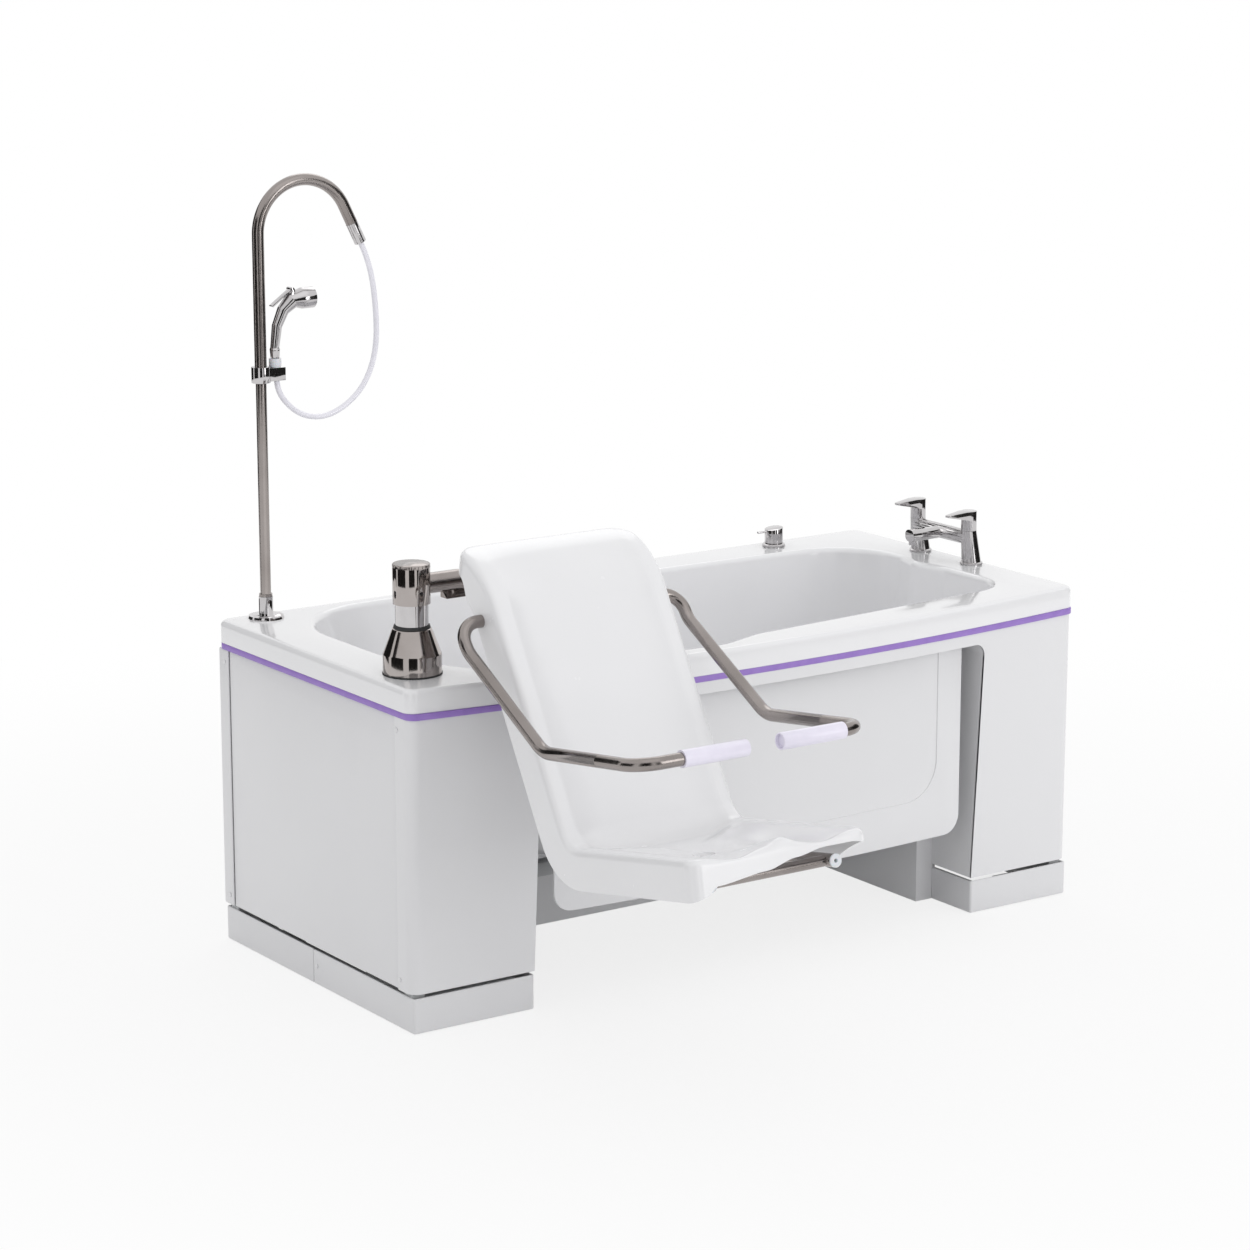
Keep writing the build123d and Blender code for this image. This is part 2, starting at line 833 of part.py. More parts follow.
# Guide bush: nylon ring at the top of the column tube
with BuildPart() as guide_bush:
    add(turned(column_x, column_y, [
        (lift_radius + running_gap, column_top - bush_length),
        (column_bore, column_top - bush_length),
        (column_bore, column_top), (lift_radius + running_gap, column_top),
    ]))
guide_bush.part.label = "guide_bush"
export_step(guide_bush.part, "parts/guide_bush.step")

# Base gasket: rubber ring between the bell and the deck
bell_foot = bath_height + gasket_height
with BuildPart() as column_gasket:
    add(turned(column_x, column_y, [
        (column_radius + gasket_wall, bath_height), (bell_radius + hole_gap, bath_height),
        (bell_radius + hole_gap, bell_foot), (column_radius + gasket_wall, bell_foot),
    ]))
column_gasket.part.label = "column_gasket"
export_step(column_gasket.part, "parts/column_gasket.step")

# Column bell: spun chrome cover, cylinder below and cone above
bell_top = bath_height + bell_height
with BuildPart() as column_bell:
    add(turned(column_x, column_y, [
        (bell_radius - bell_wall, bell_foot), (bell_radius, bell_foot),
        (bell_radius, bath_height + bell_skirt), (bell_top_radius, bell_top),
        (lift_radius + hole_gap, bell_top), (lift_radius + hole_gap, bell_top - bell_wall),
        (bell_top_radius - bell_wall, bell_top - bell_wall),
        (bell_radius - bell_wall, bath_height + bell_skirt - bell_wall),
    ]))
column_bell.part.label = "column_bell"
export_step(column_bell.part, "parts/column_bell.step")

# Wiper seal: black ring on the bell that wipes the lift tube
with BuildPart() as column_seal:
    add(turned(column_x, column_y, [
        (lift_radius + running_gap, bell_top), (lift_radius + seal_foot_wall, bell_top),
        (lift_radius + seal_lip_wall, bell_top + seal_height),
        (lift_radius + running_gap, bell_top + seal_height),
    ]))
column_seal.part.label = "column_seal"
export_step(column_seal.part, "parts/column_seal.step")

# Lift actuator: electric cylinder standing on the frame inside the column
actuator_top = column_low + actuator_length
rod_room = column_low + actuator_base
with BuildPart() as lift_actuator:
    add(turned(column_x, column_y, [
        (0, column_low), (actuator_radius, column_low), (actuator_radius, actuator_top),
        (actuator_rod_radius + running_gap, actuator_top),
        (actuator_rod_radius + running_gap, rod_room), (0, rod_room),
    ]))
lift_actuator.part.label = "lift_actuator"
export_step(lift_actuator.part, "parts/lift_actuator.step")

# Lift tube: chromed tube with a shoulder and spigot for the seat collar, and
# the actuator rod fixed to its inner plug
rod_foot = rod_room + rod_gap
rod_top = lift_shoulder - lift_plug
lift_bottom = column_low + lift_foot_gap
with BuildPart() as lift_tube:
    add(turned(column_x, column_y, [
        (0, rod_foot), (actuator_rod_radius, rod_foot), (actuator_rod_radius, rod_top),
        (lift_bore, rod_top), (lift_bore, lift_bottom), (lift_radius, lift_bottom),
        (lift_radius, lift_shoulder), (spigot_radius, lift_shoulder),
        (spigot_radius, spigot_top), (0, spigot_top),
    ]))
lift_tube.part.label = "lift_tube"
export_step(lift_tube.part, "parts/lift_tube.step")

# Arm collar: turned head that swivels on the spigot, bored for the arm
collar_foot = lift_shoulder + face_gap
with BuildPart() as arm_collar:
    add(turned(column_x, column_y, [
        (spigot_radius + running_gap, collar_foot), (collar_radius, collar_foot),
        (collar_radius, collar_top), (spigot_radius + running_gap, collar_top),
    ]))
    with BuildSketch(Plane.YZ.offset(column_x + spigot_radius + arm_seat)):
        with Locations((column_y, arm_height)):
            Circle(arm_radius + running_gap)
    extrude(amount=collar_radius, mode=Mode.SUBTRACT)
    for angle in set_screw_angles:
        spot = Vector(collar_radius, 0).rotate(Axis.Z, angle)
        with Locations(Plane(
            origin=(column_x + spot.X, column_y + spot.Y, arm_height - set_screw_drop),
            z_dir=spot.normalized(),
        )):
            Hole(set_screw_radius, depth=set_screw_length + hole_gap)
arm_collar.part.label = "arm_collar"
export_step(arm_collar.part, "parts/arm_collar.step")

# Collar cap: flat disc pressed into the top of the collar
with BuildPart() as collar_cap:
    add(turned(column_x, column_y, [
        (0, collar_top), (collar_radius, collar_top),
        (collar_radius, collar_top + cap_height - cap_edge),
        (collar_radius - cap_edge, collar_top + cap_height), (0, collar_top + cap_height),
    ]))
collar_cap.part.label = "collar_cap"
export_step(collar_cap.part, "parts/collar_cap.step")

# Set screws: socket screws sunk in the collar
with BuildPart() as collar_screws:
    for angle in set_screw_angles:
        spot = Vector(collar_radius - hole_gap, 0).rotate(Axis.Z, angle)
        with BuildSketch(Plane(
            origin=(column_x + spot.X, column_y + spot.Y, arm_height - set_screw_drop),
            z_dir=spot.normalized(),
        )):
            Circle(set_screw_radius)
            RegularPolygon(set_screw_radius / 2, 6, mode=Mode.SUBTRACT)
        extrude(amount=-set_screw_length)
collar_screws.part.label = "collar_screws"
export_step(collar_screws.part, "parts/collar_screws.step")


# Side view of the seat surface, front edge to top edge, as corners and radii,
# and the slope that trims the lower corner of its top end
seat_line = [
    (column_y - 899.0, arm_height - 347.7), (column_y - 500.6, arm_height - 421.4),
    (column_y - 212.2, arm_height + 72.3), (column_y - 101.0, arm_height + 91.0),
]
seat_radii = [front_radius, back_radius]
tip_cut = [(column_y - 73.0, arm_height + 68.0), (column_y - 159.0, arm_height - 9.5)]


def side_path(x, spots, radii):
    """Path of straight runs and arcs in an upright plane along the seat."""
    with BuildLine(Plane.YZ.offset(x)) as path:
        FilletPolyline(*spots, radius=radii)
    return path.line


def deeper(spots, depth):
    """The corners of the seat line moved square to it, behind the surface."""
    moved = []
    for i, spot in enumerate(spots):
        runs = []
        if i > 0:
            runs.append(Vector(*spot) - Vector(*spots[i - 1]))
        if i < len(spots) - 1:
            runs.append(Vector(*spots[i + 1]) - Vector(*spot))
        runs = [run.normalized() for run in runs]
        normals = [Vector(run.Y, -run.X) for run in runs]
        total = normals[0] + normals[-1]
        out = total * (depth / (1 + normals[0].dot(normals[-1])))
        moved.append((spot[0] + out.X, spot[1] + out.Y))
    return moved


def pipe(path, radius, wall):
    """Tube of a given outer radius and wall swept along a path."""
    with BuildPart() as tube:
        with BuildSketch(Plane(origin=path @ 0, z_dir=path % 0)):
            Circle(radius)
            if wall > 0:
                Circle(radius - wall, mode=Mode.SUBTRACT)
        sweep(path=path)
    return tube.part


# Seat shell: thin moulding, dished along its whole length, with side skirts, a
# front skirt cut up in the middle and a closed top edge
seat_path = side_path(seat_middle, seat_line, seat_radii)
seat_start = Plane(origin=seat_path @ 0, x_dir=(1, 0, 0), z_dir=seat_path % 0)
behind = -1 if seat_start.y_dir.Z > 0 else 1
half_seat = seat_width / 2
half_scoop = half_seat - scoop_margin


def seat_section(wall):
    """Cross-section of the seat: dished face and two skirts of one thickness."""
    edge = seat_edge - wall if wall else seat_edge
    side = half_seat - wall
    with BuildSketch(seat_start) as section:
        with BuildLine():
            Line((-side, behind * (skirt + wall)), (-side, behind * (wall + edge)))
            ThreePointArc(
                (-side, behind * (wall + edge)),
                (-side + edge * (1 - math.sqrt(0.5)), behind * (wall + edge * (1 - math.sqrt(0.5)))),
                (-side + edge, behind * wall),
            )
            Line((-side + edge, behind * wall), (-half_scoop, behind * wall))
            ThreePointArc(
                (-half_scoop, behind * wall), (0, behind * (wall + scoop_depth)),
                (half_scoop, behind * wall),
            )
            Line((half_scoop, behind * wall), (side - edge, behind * wall))
            ThreePointArc(
                (side - edge, behind * wall),
                (side - edge * (1 - math.sqrt(0.5)), behind * (wall + edge * (1 - math.sqrt(0.5)))),
                (side, behind * (wall + edge)),
            )
            Line((side, behind * (wall + edge)), (side, behind * (skirt + wall)))
            Line((side, behind * (skirt + wall)), (-side, behind * (skirt + wall)))
        make_face()
    return section.sketch


with BuildPart() as seat_solid:
    add(seat_section(0.0))
    sweep(path=seat_path)
with BuildPart() as seat_hollow:
    add(seat_section(seat_wall))
    sweep(path=seat_path)

seat_end = Plane(origin=seat_path @ 1, x_dir=(1, 0, 0), z_dir=seat_path % 1)
back_run = (Vector(*seat_line[2]) - Vector(*seat_line[1])).normalized()
pan_run = (Vector(*seat_line[1]) - Vector(*seat_line[0])).normalized()
sleeve_radius = tube_radius + sleeve_wall
with BuildPart() as seat_room:
    add(seat_hollow.part)
    with BuildSketch(seat_start):
        Rectangle(2 * seat_width, 4 * skirt)
    extrude(amount=seat_wall, mode=Mode.SUBTRACT)
    with BuildSketch(seat_end):
        Rectangle(2 * seat_width, 4 * skirt)
    extrude(amount=-seat_wall, mode=Mode.SUBTRACT)
with BuildPart() as seat_shell:
    add(seat_solid.part)
    add(seat_room.part, mode=Mode.SUBTRACT)
    with BuildSketch(seat_start):
        with Locations((0, behind * (front_skirt + skirt))):
            RectangleRounded(seat_width - 2 * front_skirt, 2 * skirt, front_skirt / 2)
    extrude(amount=2 * seat_wall, mode=Mode.SUBTRACT)
    with BuildSketch(Plane.YZ.offset(seat_left - 1)):
        with Locations((pivot_y, pivot_z)):
            Circle(tube_radius + hole_gap)
        with BuildLine():
            Polyline(*tip_cut, (tip_cut[1][0], pivot_z), (tip_cut[0][0], pivot_z), close=True)
        make_face()
    extrude(amount=seat_width + 2, mode=Mode.SUBTRACT)
    with Locations(Plane(origin=seat_path @ drain_share, z_dir=(0, 0, 1))):
        Cylinder(drain_radius, 4 * skirt, mode=Mode.SUBTRACT)
seat_shell.part.label = "seat_shell"
export_step(seat_shell.part, "parts/seat_shell.step")


def rod(start, end, radius, bore=0.0):
    """Straight bar or tube between two points."""
    way = Vector(*end) - Vector(*start)
    with BuildPart() as bar:
        with BuildSketch(Plane(origin=start, z_dir=way.normalized())):
            Circle(radius)
            if bore > 0:
                Circle(bore, mode=Mode.SUBTRACT)
        extrude(amount=way.length)
    return bar.part


# Seat frame: two bent tubes under the seat, a front cross tube, the arm plate
# across their backs and a pivot sleeve for each armrest
frame_line = deeper(seat_line[:3], frame_depth)
frame_line[0] = (
    frame_line[0][0] + pan_run.X * frame_setback, frame_line[0][1] + pan_run.Y * frame_setback
)
frame_line[2] = (
    frame_line[2][0] - back_run.X * frame_top_setback,
    frame_line[2][1] - back_run.Y * frame_top_setback,
)
back_out = Vector(back_run.Y, -back_run.X)
plate_foot = Vector(*frame_line[2]) + back_out * (tube_radius - tube_wall / 2)
plate_corners = [
    plate_foot + back_run * along + back_out * across
    for along, across in (
        (plate_above, 0), (-plate_below, 0),
        (-plate_below, plate_wall), (plate_above, plate_wall),
    )
]
bore_left = frame_left - tube_radius - hole_gap
bore_right = frame_right + tube_radius + hole_gap
with BuildPart() as seat_frame:
    for x in (frame_left, frame_right):
        add(pipe(side_path(x, frame_line, [frame_bend]), tube_radius, tube_wall))
    cross_y = frame_line[0][0] + pan_run.X * 2 * cross_radius
    cross_z = frame_line[0][1] + pan_run.Y * 2 * cross_radius
    add(rod(
        (frame_left + tube_radius - tube_wall / 2, cross_y, cross_z),
        (frame_right - tube_radius + tube_wall / 2, cross_y, cross_z),
        cross_radius, cross_radius - tube_wall,
    ))
    with BuildSketch(Plane.YZ.offset(frame_left - plate_side)):
        with BuildLine():
            Polyline([(spot.X, spot.Y) for spot in plate_corners], close=True)
        make_face()
    extrude(amount=frame_right - frame_left + 2 * plate_side)
    add(rod((seat_left + seat_wall, pivot_y, pivot_z), (bore_left, pivot_y, pivot_z),
            sleeve_radius, tube_radius + running_gap))
    add(rod((bore_left, pivot_y, pivot_z), (frame_left, pivot_y, pivot_z), sleeve_radius))
    add(rod((bore_right, pivot_y, pivot_z), (seat_right - seat_wall, pivot_y, pivot_z),
            sleeve_radius, tube_radius + running_gap))
    add(rod((frame_right, pivot_y, pivot_z), (bore_right, pivot_y, pivot_z), sleeve_radius))
    with BuildSketch(Plane.XZ.offset(skirt - arm_end_y)):
        with Locations((arm_turn_x, arm_height)):
            Circle(arm_radius + running_gap)
    extrude(amount=-3 * skirt, mode=Mode.SUBTRACT)
seat_frame.part.label = "seat_frame"
export_step(seat_frame.part, "parts/seat_frame.step")

# Tube plugs: white plastic plugs with a hole, in the ends of the frame tubes
with BuildPart() as frame_caps:
    for x in (frame_left, frame_right):
        for spot, way, rim in (
            (frame_line[0], pan_run * -1, plug_radius),
            (frame_line[2], back_run, tube_radius - tube_wall),
        ):
            with BuildSketch(Plane(origin=(x, *spot), z_dir=(0, way.X, way.Y))):
                Circle(rim)
                Circle(plug_hole, mode=Mode.SUBTRACT)
            extrude(amount=plug_rim)
            with BuildSketch(Plane(origin=(x, *spot), z_dir=(0, -way.X, -way.Y))):
                Circle(tube_radius - tube_wall - running_gap)
                Circle(plug_hole, mode=Mode.SUBTRACT)
            extrude(amount=plug_depth)
frame_caps.part.label = "frame_caps"
export_step(frame_caps.part, "parts/frame_caps.step")

# Support arm: heavy tube from the collar round one bend into the arm plate
with BuildPart() as support_arm:
    with BuildLine() as arm_path:
        FilletPolyline(
            (column_x + spigot_radius + arm_seat + face_gap, column_y, arm_height),
            (arm_turn_x, column_y, arm_height),
            (arm_turn_x, arm_end_y, arm_height), radius=arm_bend,
        )
    add(pipe(arm_path.line, arm_radius, arm_wall))
support_arm.part.label = "support_arm"
export_step(support_arm.part, "parts/support_arm.step")

# Arm gusset: short saddle welded under the arm beside the collar
with BuildPart() as arm_gusset:
    with Locations((column_x + gusset_near, column_y, arm_height - gusset_drop)):
        Box(
            gusset_far - gusset_near, 2 * gusset_half_width,
            gusset_drop - arm_radius + gusset_grip,
            align=(Align.MIN, Align.CENTER, Align.MIN),
        )
    add(pipe(arm_path.line, arm_radius + running_gap, 0.0), mode=Mode.SUBTRACT)
arm_gusset.part.label = "arm_gusset"
export_step(arm_gusset.part, "parts/arm_gusset.step")

# Armrests: a bent tube that flips up on a stub in the seat frame, and a grip
# tube on its spigot whose end carries a soft sleeve
arm_line = [
    (column_y - 244.0, arm_height - 83.0), (column_y - 505.0, arm_height - 225.0),
    (column_y - 811.0, arm_height - 184.0),
]
arm_run = (Vector(*arm_line[2]) - Vector(*arm_line[1])).normalized()
joint_z = arm_line[1][1] + arm_run.Y * (joint_y - arm_line[1][0]) / arm_run.X
for side, name, stub, grip_start in (
    (-1, "left", bore_left, grip_starts[0]), (1, "right", bore_right, grip_starts[1]),
):
    x = arm_middle + side * arm_spread
    joint = (x, joint_y, joint_z)
    spigot_end = (
        x, joint_y + arm_run.X * arm_spigot_length, joint_z + arm_run.Y * arm_spigot_length
    )
    with BuildPart() as arm_tube:
        with BuildLine() as route:
            FilletPolyline(
                (stub, pivot_y, pivot_z), (x, pivot_y, pivot_z), (x, *arm_line[0]),
                (x, *arm_line[1]), joint, radius=arm_bends,
            )
        add(pipe(route.line, tube_radius, tube_wall))
        add(rod(joint, spigot_end, tube_radius - tube_wall - running_gap))
        inner_end = (
            x, joint_y - arm_run.X * arm_spigot_length / 2,
            joint_z - arm_run.Y * arm_spigot_length / 2,
        )
        add(rod(inner_end, joint, tube_radius - tube_wall / 2))
    arm_tube.part.label = name + "_arm_tube"
    export_step(arm_tube.part, f"parts/{name}_arm_tube.step")

    sleeve_x = x - side * grip_start
    closed_x = sleeve_x - side * grip_length
    grip_end = closed_x + side * grip_plug
    with BuildPart() as grip_tube:
        with BuildLine() as route:
            FilletPolyline(
                (x, joint_y + arm_run.X * face_gap, joint_z + arm_run.Y * face_gap),
                (x, *arm_line[2]), (grip_end, *arm_line[2]), radius=grip_bend,
            )
        add(pipe(route.line, tube_radius, tube_wall))
    grip_tube.part.label = name + "_grip_tube"
    export_step(grip_tube.part, f"parts/{name}_grip_tube.step")

    with BuildPart() as grip_sleeve:
        add(rod((sleeve_x, *arm_line[2]), (grip_end, *arm_line[2]),
                grip_radius, tube_radius + running_gap))
        add(rod((grip_end, *arm_line[2]), (closed_x, *arm_line[2]), grip_radius))
        fillet(
            grip_sleeve.faces().sort_by(Axis.X)[0 if side > 0 else -1].edges(),
            sleeve_wall,
        )
    grip_sleeve.part.label = name + "_grip_sleeve"
    export_step(grip_sleeve.part, f"parts/{name}_grip_sleeve.step")

# Riser flange: base of the shower column, clamped to the deck by a nut below
with BuildPart() as riser_flange:
    add(turned(riser_x, riser_y, [
        (riser_radius + running_gap, bath_height - riser_tail_length),
        (riser_tail_radius, bath_height - riser_tail_length), (riser_tail_radius, bath_height),
        (flange_radius, bath_height), (flange_radius - flange_edge, bath_height + flange_height),
        (riser_sleeve_radius, bath_height + flange_height),
        (riser_sleeve_radius, riser_sleeve_top), (riser_radius + running_gap, riser_sleeve_top),
    ]))
riser_flange.part.label = "riser_flange"
export_step(riser_flange.part, "parts/riser_flange.step")

# Riser lower tube: turns in the flange and stands on its shoulder ring
with BuildPart() as riser_lower_tube:
    add(turned(riser_x, riser_y, [
        (riser_radius - tube_wall, riser_foot), (riser_radius, riser_foot),
        (riser_radius, riser_sleeve_top + face_gap),
        (riser_tail_radius, riser_sleeve_top + face_gap),
        (riser_tail_radius, riser_sleeve_top + flange_height),
        (riser_radius, riser_sleeve_top + flange_height),
        (riser_radius, riser_top), (riser_radius - tube_wall, riser_top),
    ]))
riser_lower_tube.part.label = "riser_lower_tube"
export_step(riser_lower_tube.part, "parts/riser_lower_tube.step")

# Riser clamp: turned collar under the upper tube with a two-eared rest
with BuildPart() as riser_clamp:
    add(turned(riser_x, riser_y, [
        (riser_radius + running_gap, clamp_low), (clamp_radius, clamp_low),
        (clamp_radius, clamp_high), (riser_upper_radius + running_gap, clamp_high),
        (riser_upper_radius + running_gap, upper_foot), (riser_radius + running_gap, upper_foot),
    ]))
    for side in (-1, 1):
        with Locations((riser_x + riser_upper_radius + hole_gap, riser_y, ear_low)):
            with Locations((0, side * (ear_inner + ear_outer) / 2, 0)):
                Box(
                    ear_reach - riser_upper_radius - hole_gap, ear_outer - ear_inner,
                    ear_high - ear_low, align=(Align.MIN, Align.CENTER, Align.MIN),
                )
riser_clamp.part.label = "riser_clamp"
export_step(riser_clamp.part, "parts/riser_clamp.step")

# Riser upper tube: slides on the lower tube and arches over towards the bath
riser_plane = Plane.XZ.offset(-riser_y)
with BuildPart() as riser_upper_tube:
    with BuildLine(riser_plane) as arch_path:
        straight = Line((riser_x, upper_foot), (riser_x, bath_height + arch_rise))
        arch = JernArc(straight @ 1, straight % 1, arch_radius, -arch_sweep)
        tail = Line(arch @ 1, (arch @ 1) + (arch % 1) * arch_tail)
    add(pipe(arch_path.line, riser_upper_radius, riser_upper_wall))
riser_upper_tube.part.label = "riser_upper_tube"
export_step(riser_upper_tube.part, "parts/riser_upper_tube.step")
arch_end = arch_path.line @ 1
arch_way = arch_path.line % 1

# Hose fitting: chromed nozzle on the end of the arch
with BuildPart() as hose_fitting:
    add(rod(arch_end, arch_end + arch_way * fitting_length, fitting_radius, fitting_bore))
hose_fitting.part.label = "hose_fitting"
export_step(hose_fitting.part, "parts/hose_fitting.step")

# Shower hose: smooth hose from the fitting down in a loop and up to the handset
hose_spots = [
    (-515.46, 1473.42), (-494.7, 1431.3), (-480, 1345), (-479, 1240), (-515, 1160),
    (-590, 1112), (-660, 1116), (-712, 1160), (-724, 1205), (-724, 1247),
]
hose_radii = []
for before, spot, after in zip(hose_spots, hose_spots[1:], hose_spots[2:]):
    run_in = Vector(*spot) - Vector(*before)
    run_out = Vector(*after) - Vector(*spot)
    half_turn = math.radians(run_in.get_angle(run_out) / 2)
    hose_radii.append(0.45 * min(run_in.length, run_out.length) / math.tan(half_turn))
with BuildPart() as shower_hose:
    with BuildLine(riser_plane) as hose_path:
        FilletPolyline(*hose_spots, radius=hose_radii)
    add(pipe(hose_path.line, hose_radius, hose_wall))
shower_hose.part.label = "shower_hose"
export_step(shower_hose.part, "parts/shower_hose.step")
hose_length = sum(edge.length for edge in hose_path.edges())
hose_section = math.pi * (hose_radius**2 - (hose_radius - hose_wall) ** 2)
print("hose radii", [round(radius) for radius in hose_radii])
print("hose length", round(hose_length, 1))
print("hose volume", round(shower_hose.part.volume), round(hose_section * hose_length))

# Hose holder: plastic ring on the ears that the handset nut rests in
with BuildPart() as hose_holder:
    add(turned(holder_x, riser_y, [
        (holder_bore, ear_high), (holder_radius - holder_taper, ear_high),
        (holder_radius, ear_high + 2 * holder_taper),
        (holder_radius, holder_top), (holder_bore, holder_top),
    ]))
hose_holder.part.label = "hose_holder"
export_step(hose_holder.part, "parts/hose_holder.step")

# Handset body: nut, curved handle swelling into the spray head, and two lugs
# with the trigger pin
handset_line = [
    ((holder_x, handset_nut_top), (0, 1), handle_radius),
    ((holder_x + 6.0, handset_nut_top + 44.0), (0.25, 0.97), 11.0),
    ((holder_x + 21.0, handset_nut_top + 76.0), (0.6, 0.8), 13.0),
    ((holder_x + 41.0, handset_nut_top + 94.0), (0.85, 0.53), 17.0),
    ((holder_x + 64.0, handset_nut_top + 98.0), (1, 0), head_radius),
    ((holder_x + 91.0, handset_nut_top + 98.0), (1, 0), head_radius),
]
trigger_pivot = (holder_x + 40.0, handset_nut_top + 119.0)
trigger_tip = (holder_x - 7.0, handset_nut_top + 86.0)
with BuildPart() as handset_body:
    for spot, way, radius in handset_line:
        with BuildSketch(Plane(
            origin=(spot[0], riser_y, spot[1]), x_dir=(0, 1, 0), z_dir=(way[0], 0, way[1])
        )):
            Circle(radius)
    loft(ruled=True)
    add(turned(holder_x, riser_y, [
        (0, handset_foot), (handset_nut_radius - holder_taper, handset_foot),
        (handset_nut_radius, handset_nut_top - 2 * holder_taper),
        (handle_radius, handset_nut_top), (0, handset_nut_top),
    ]))
    for side in (-1, 1):
        with BuildSketch(riser_plane.offset(side * (trigger_width / 2 + face_gap + lug_wall / 2))):
            with Locations(trigger_pivot):
                Circle(2 * trigger_pin)
            with Locations((trigger_pivot[0] + hole_gap, trigger_pivot[1] - lug_height / 2)):
                Rectangle(4 * trigger_pin, lug_height)
        extrude(amount=lug_wall / 2, both=True)
    add(rod(
        (trigger_pivot[0], riser_y - trigger_width / 2 - lug_wall, trigger_pivot[1]),
        (trigger_pivot[0], riser_y + trigger_width / 2 + lug_wall, trigger_pivot[1]), trigger_pin,
    ))
handset_body.part.label = "handset_body"
export_step(handset_body.part, "parts/handset_body.step")

# Handset trigger: flat blade over the back of the handle, pressed to spray
with BuildPart() as handset_trigger:
    with BuildSketch(riser_plane.offset(-trigger_width / 2)):
        blade = Vector(*trigger_tip) - Vector(*trigger_pivot)
        along = math.degrees(math.atan2(blade.Y, blade.X))
        with Locations(
            Location(((trigger_pivot[0] + trigger_tip[0]) / 2,
                      (trigger_pivot[1] + trigger_tip[1]) / 2, 0), (0, 0, along))
        ):
            SlotCenterToCenter(blade.length - trigger_wall, trigger_wall)
        with Locations(trigger_pivot):
            Circle(2 * trigger_pin)
            Circle(trigger_pin + running_gap, mode=Mode.SUBTRACT)
    extrude(amount=trigger_width)
handset_trigger.part.label = "handset_trigger"
export_step(handset_trigger.part, "parts/handset_trigger.step")

# Mixer body: two leaning pillars, their threaded tails and the bridge
tap_ys = (tap_y - tap_spacing / 2, tap_y + tap_spacing / 2)
tap_base = bath_height + tap_foot_height
with BuildPart() as mixer_body:
    for y in tap_ys:
        with BuildSketch(Plane.XY.offset(tap_base)):
            with Locations((tap_x, y)):
                Circle(pillar_radius)
        with BuildSketch(Plane.XY.offset(pillar_top)):
            with Locations((lever_x, y)):
                Circle(pillar_top_radius)
        loft()
        add(rod((tap_x, y, bath_height - tap_tail_length), (tap_x, y, tap_base), tap_tail_radius))
    add(rod((lever_x, tap_ys[0], bridge_height), (lever_x, tap_ys[1], bridge_height), bridge_radius))
    add(rod((boss_x, tap_y, bridge_height), (lever_x, tap_y, bridge_height), boss_radius))
    for y in tap_ys:
        with Locations((lever_x, y, pillar_top)):
            Hole(spindle_radius + running_gap, depth=spindle_length + face_gap)
mixer_body.part.label = "mixer_body"
export_step(mixer_body.part, "parts/mixer_body.step")

# Mixer spout: level spout with a short aerator under its tip
with BuildPart() as mixer_spout:
    with BuildSketch(Plane.YZ.offset(spout_tip)):
        with Locations((tap_y, bridge_height)):
            RectangleRounded(spout_width, spout_height, spout_corner)
    extrude(amount=boss_x - spout_tip)
    nozzle_x = spout_tip + nozzle_radius + hole_gap
    add(rod((nozzle_x, tap_y, bridge_height - spout_height / 2 - nozzle_drop),
            (nozzle_x, tap_y, bridge_height), nozzle_radius))
    with Locations(Plane(
        origin=(nozzle_x, tap_y, bridge_height - spout_height / 2 - nozzle_drop), z_dir=(0, 0, -1)
    )):
        Hole(nozzle_radius - nozzle_wall, depth=spout_height / 2)
mixer_spout.part.label = "mixer_spout"
export_step(mixer_spout.part, "parts/mixer_spout.step")

# Tap base discs: chromed washers between the pillars and the deck
with BuildPart() as tap_base_discs:
    for y in tap_ys:
        add(turned(tap_x, y, [
            (tap_tail_radius + running_gap, bath_height), (tap_foot_radius, bath_height),
            (tap_foot_radius, tap_base - tap_foot_edge), (tap_foot_radius - tap_foot_edge, tap_base),
            (tap_tail_radius + running_gap, tap_base),
        ]))
tap_base_discs.part.label = "tap_base_discs"
export_step(tap_base_discs.part, "parts/tap_base_discs.step")

# Tap levers: cone on a spindle with a flat blade that points over the bath
for y, name in ((tap_ys[0], "cold_lever"), (tap_ys[1], "hot_lever")):
    blade_plan = Plane.XY.offset(lever_shoulder - lever_blade)
    with BuildPart() as lever:
        with BuildSketch(blade_plan):
            with Locations((lever_x, y)):
                Circle(pillar_top_radius)
            with Locations((lever_tip + lever_tip_radius, y)):
                Circle(lever_tip_radius)
            make_hull()
        extrude(amount=lever_top - lever_shoulder + lever_blade)
        with BuildSketch(Plane.XZ.offset(-y)):
            with BuildLine():
                Polyline(
                    (lever_x + 2 * pillar_top_radius, lever_shoulder - 2 * lever_blade),
                    (lever_x - pillar_top_radius, lever_shoulder),
                    (lever_tip - hole_gap, lever_top - lever_blade),
                    (lever_tip - hole_gap, lever_top - lever_blade + lever_tip_wall),
                    (lever_x - pillar_top_radius, lever_top),
                    (lever_x + 2 * pillar_top_radius, lever_top), close=True,
                )
            make_face()
        extrude(amount=2 * pillar_radius, both=True, mode=Mode.INTERSECT)
        add(rod((lever_x, y, pillar_top + face_gap), (lever_x, y, lever_shoulder + hole_gap),
                pillar_top_radius))
        add(rod((lever_x, y, pillar_top - spindle_length), (lever_x, y, lever_shoulder),
                spindle_radius))
    lever.part.label = name
    export_step(lever.part, f"parts/{name}.step")

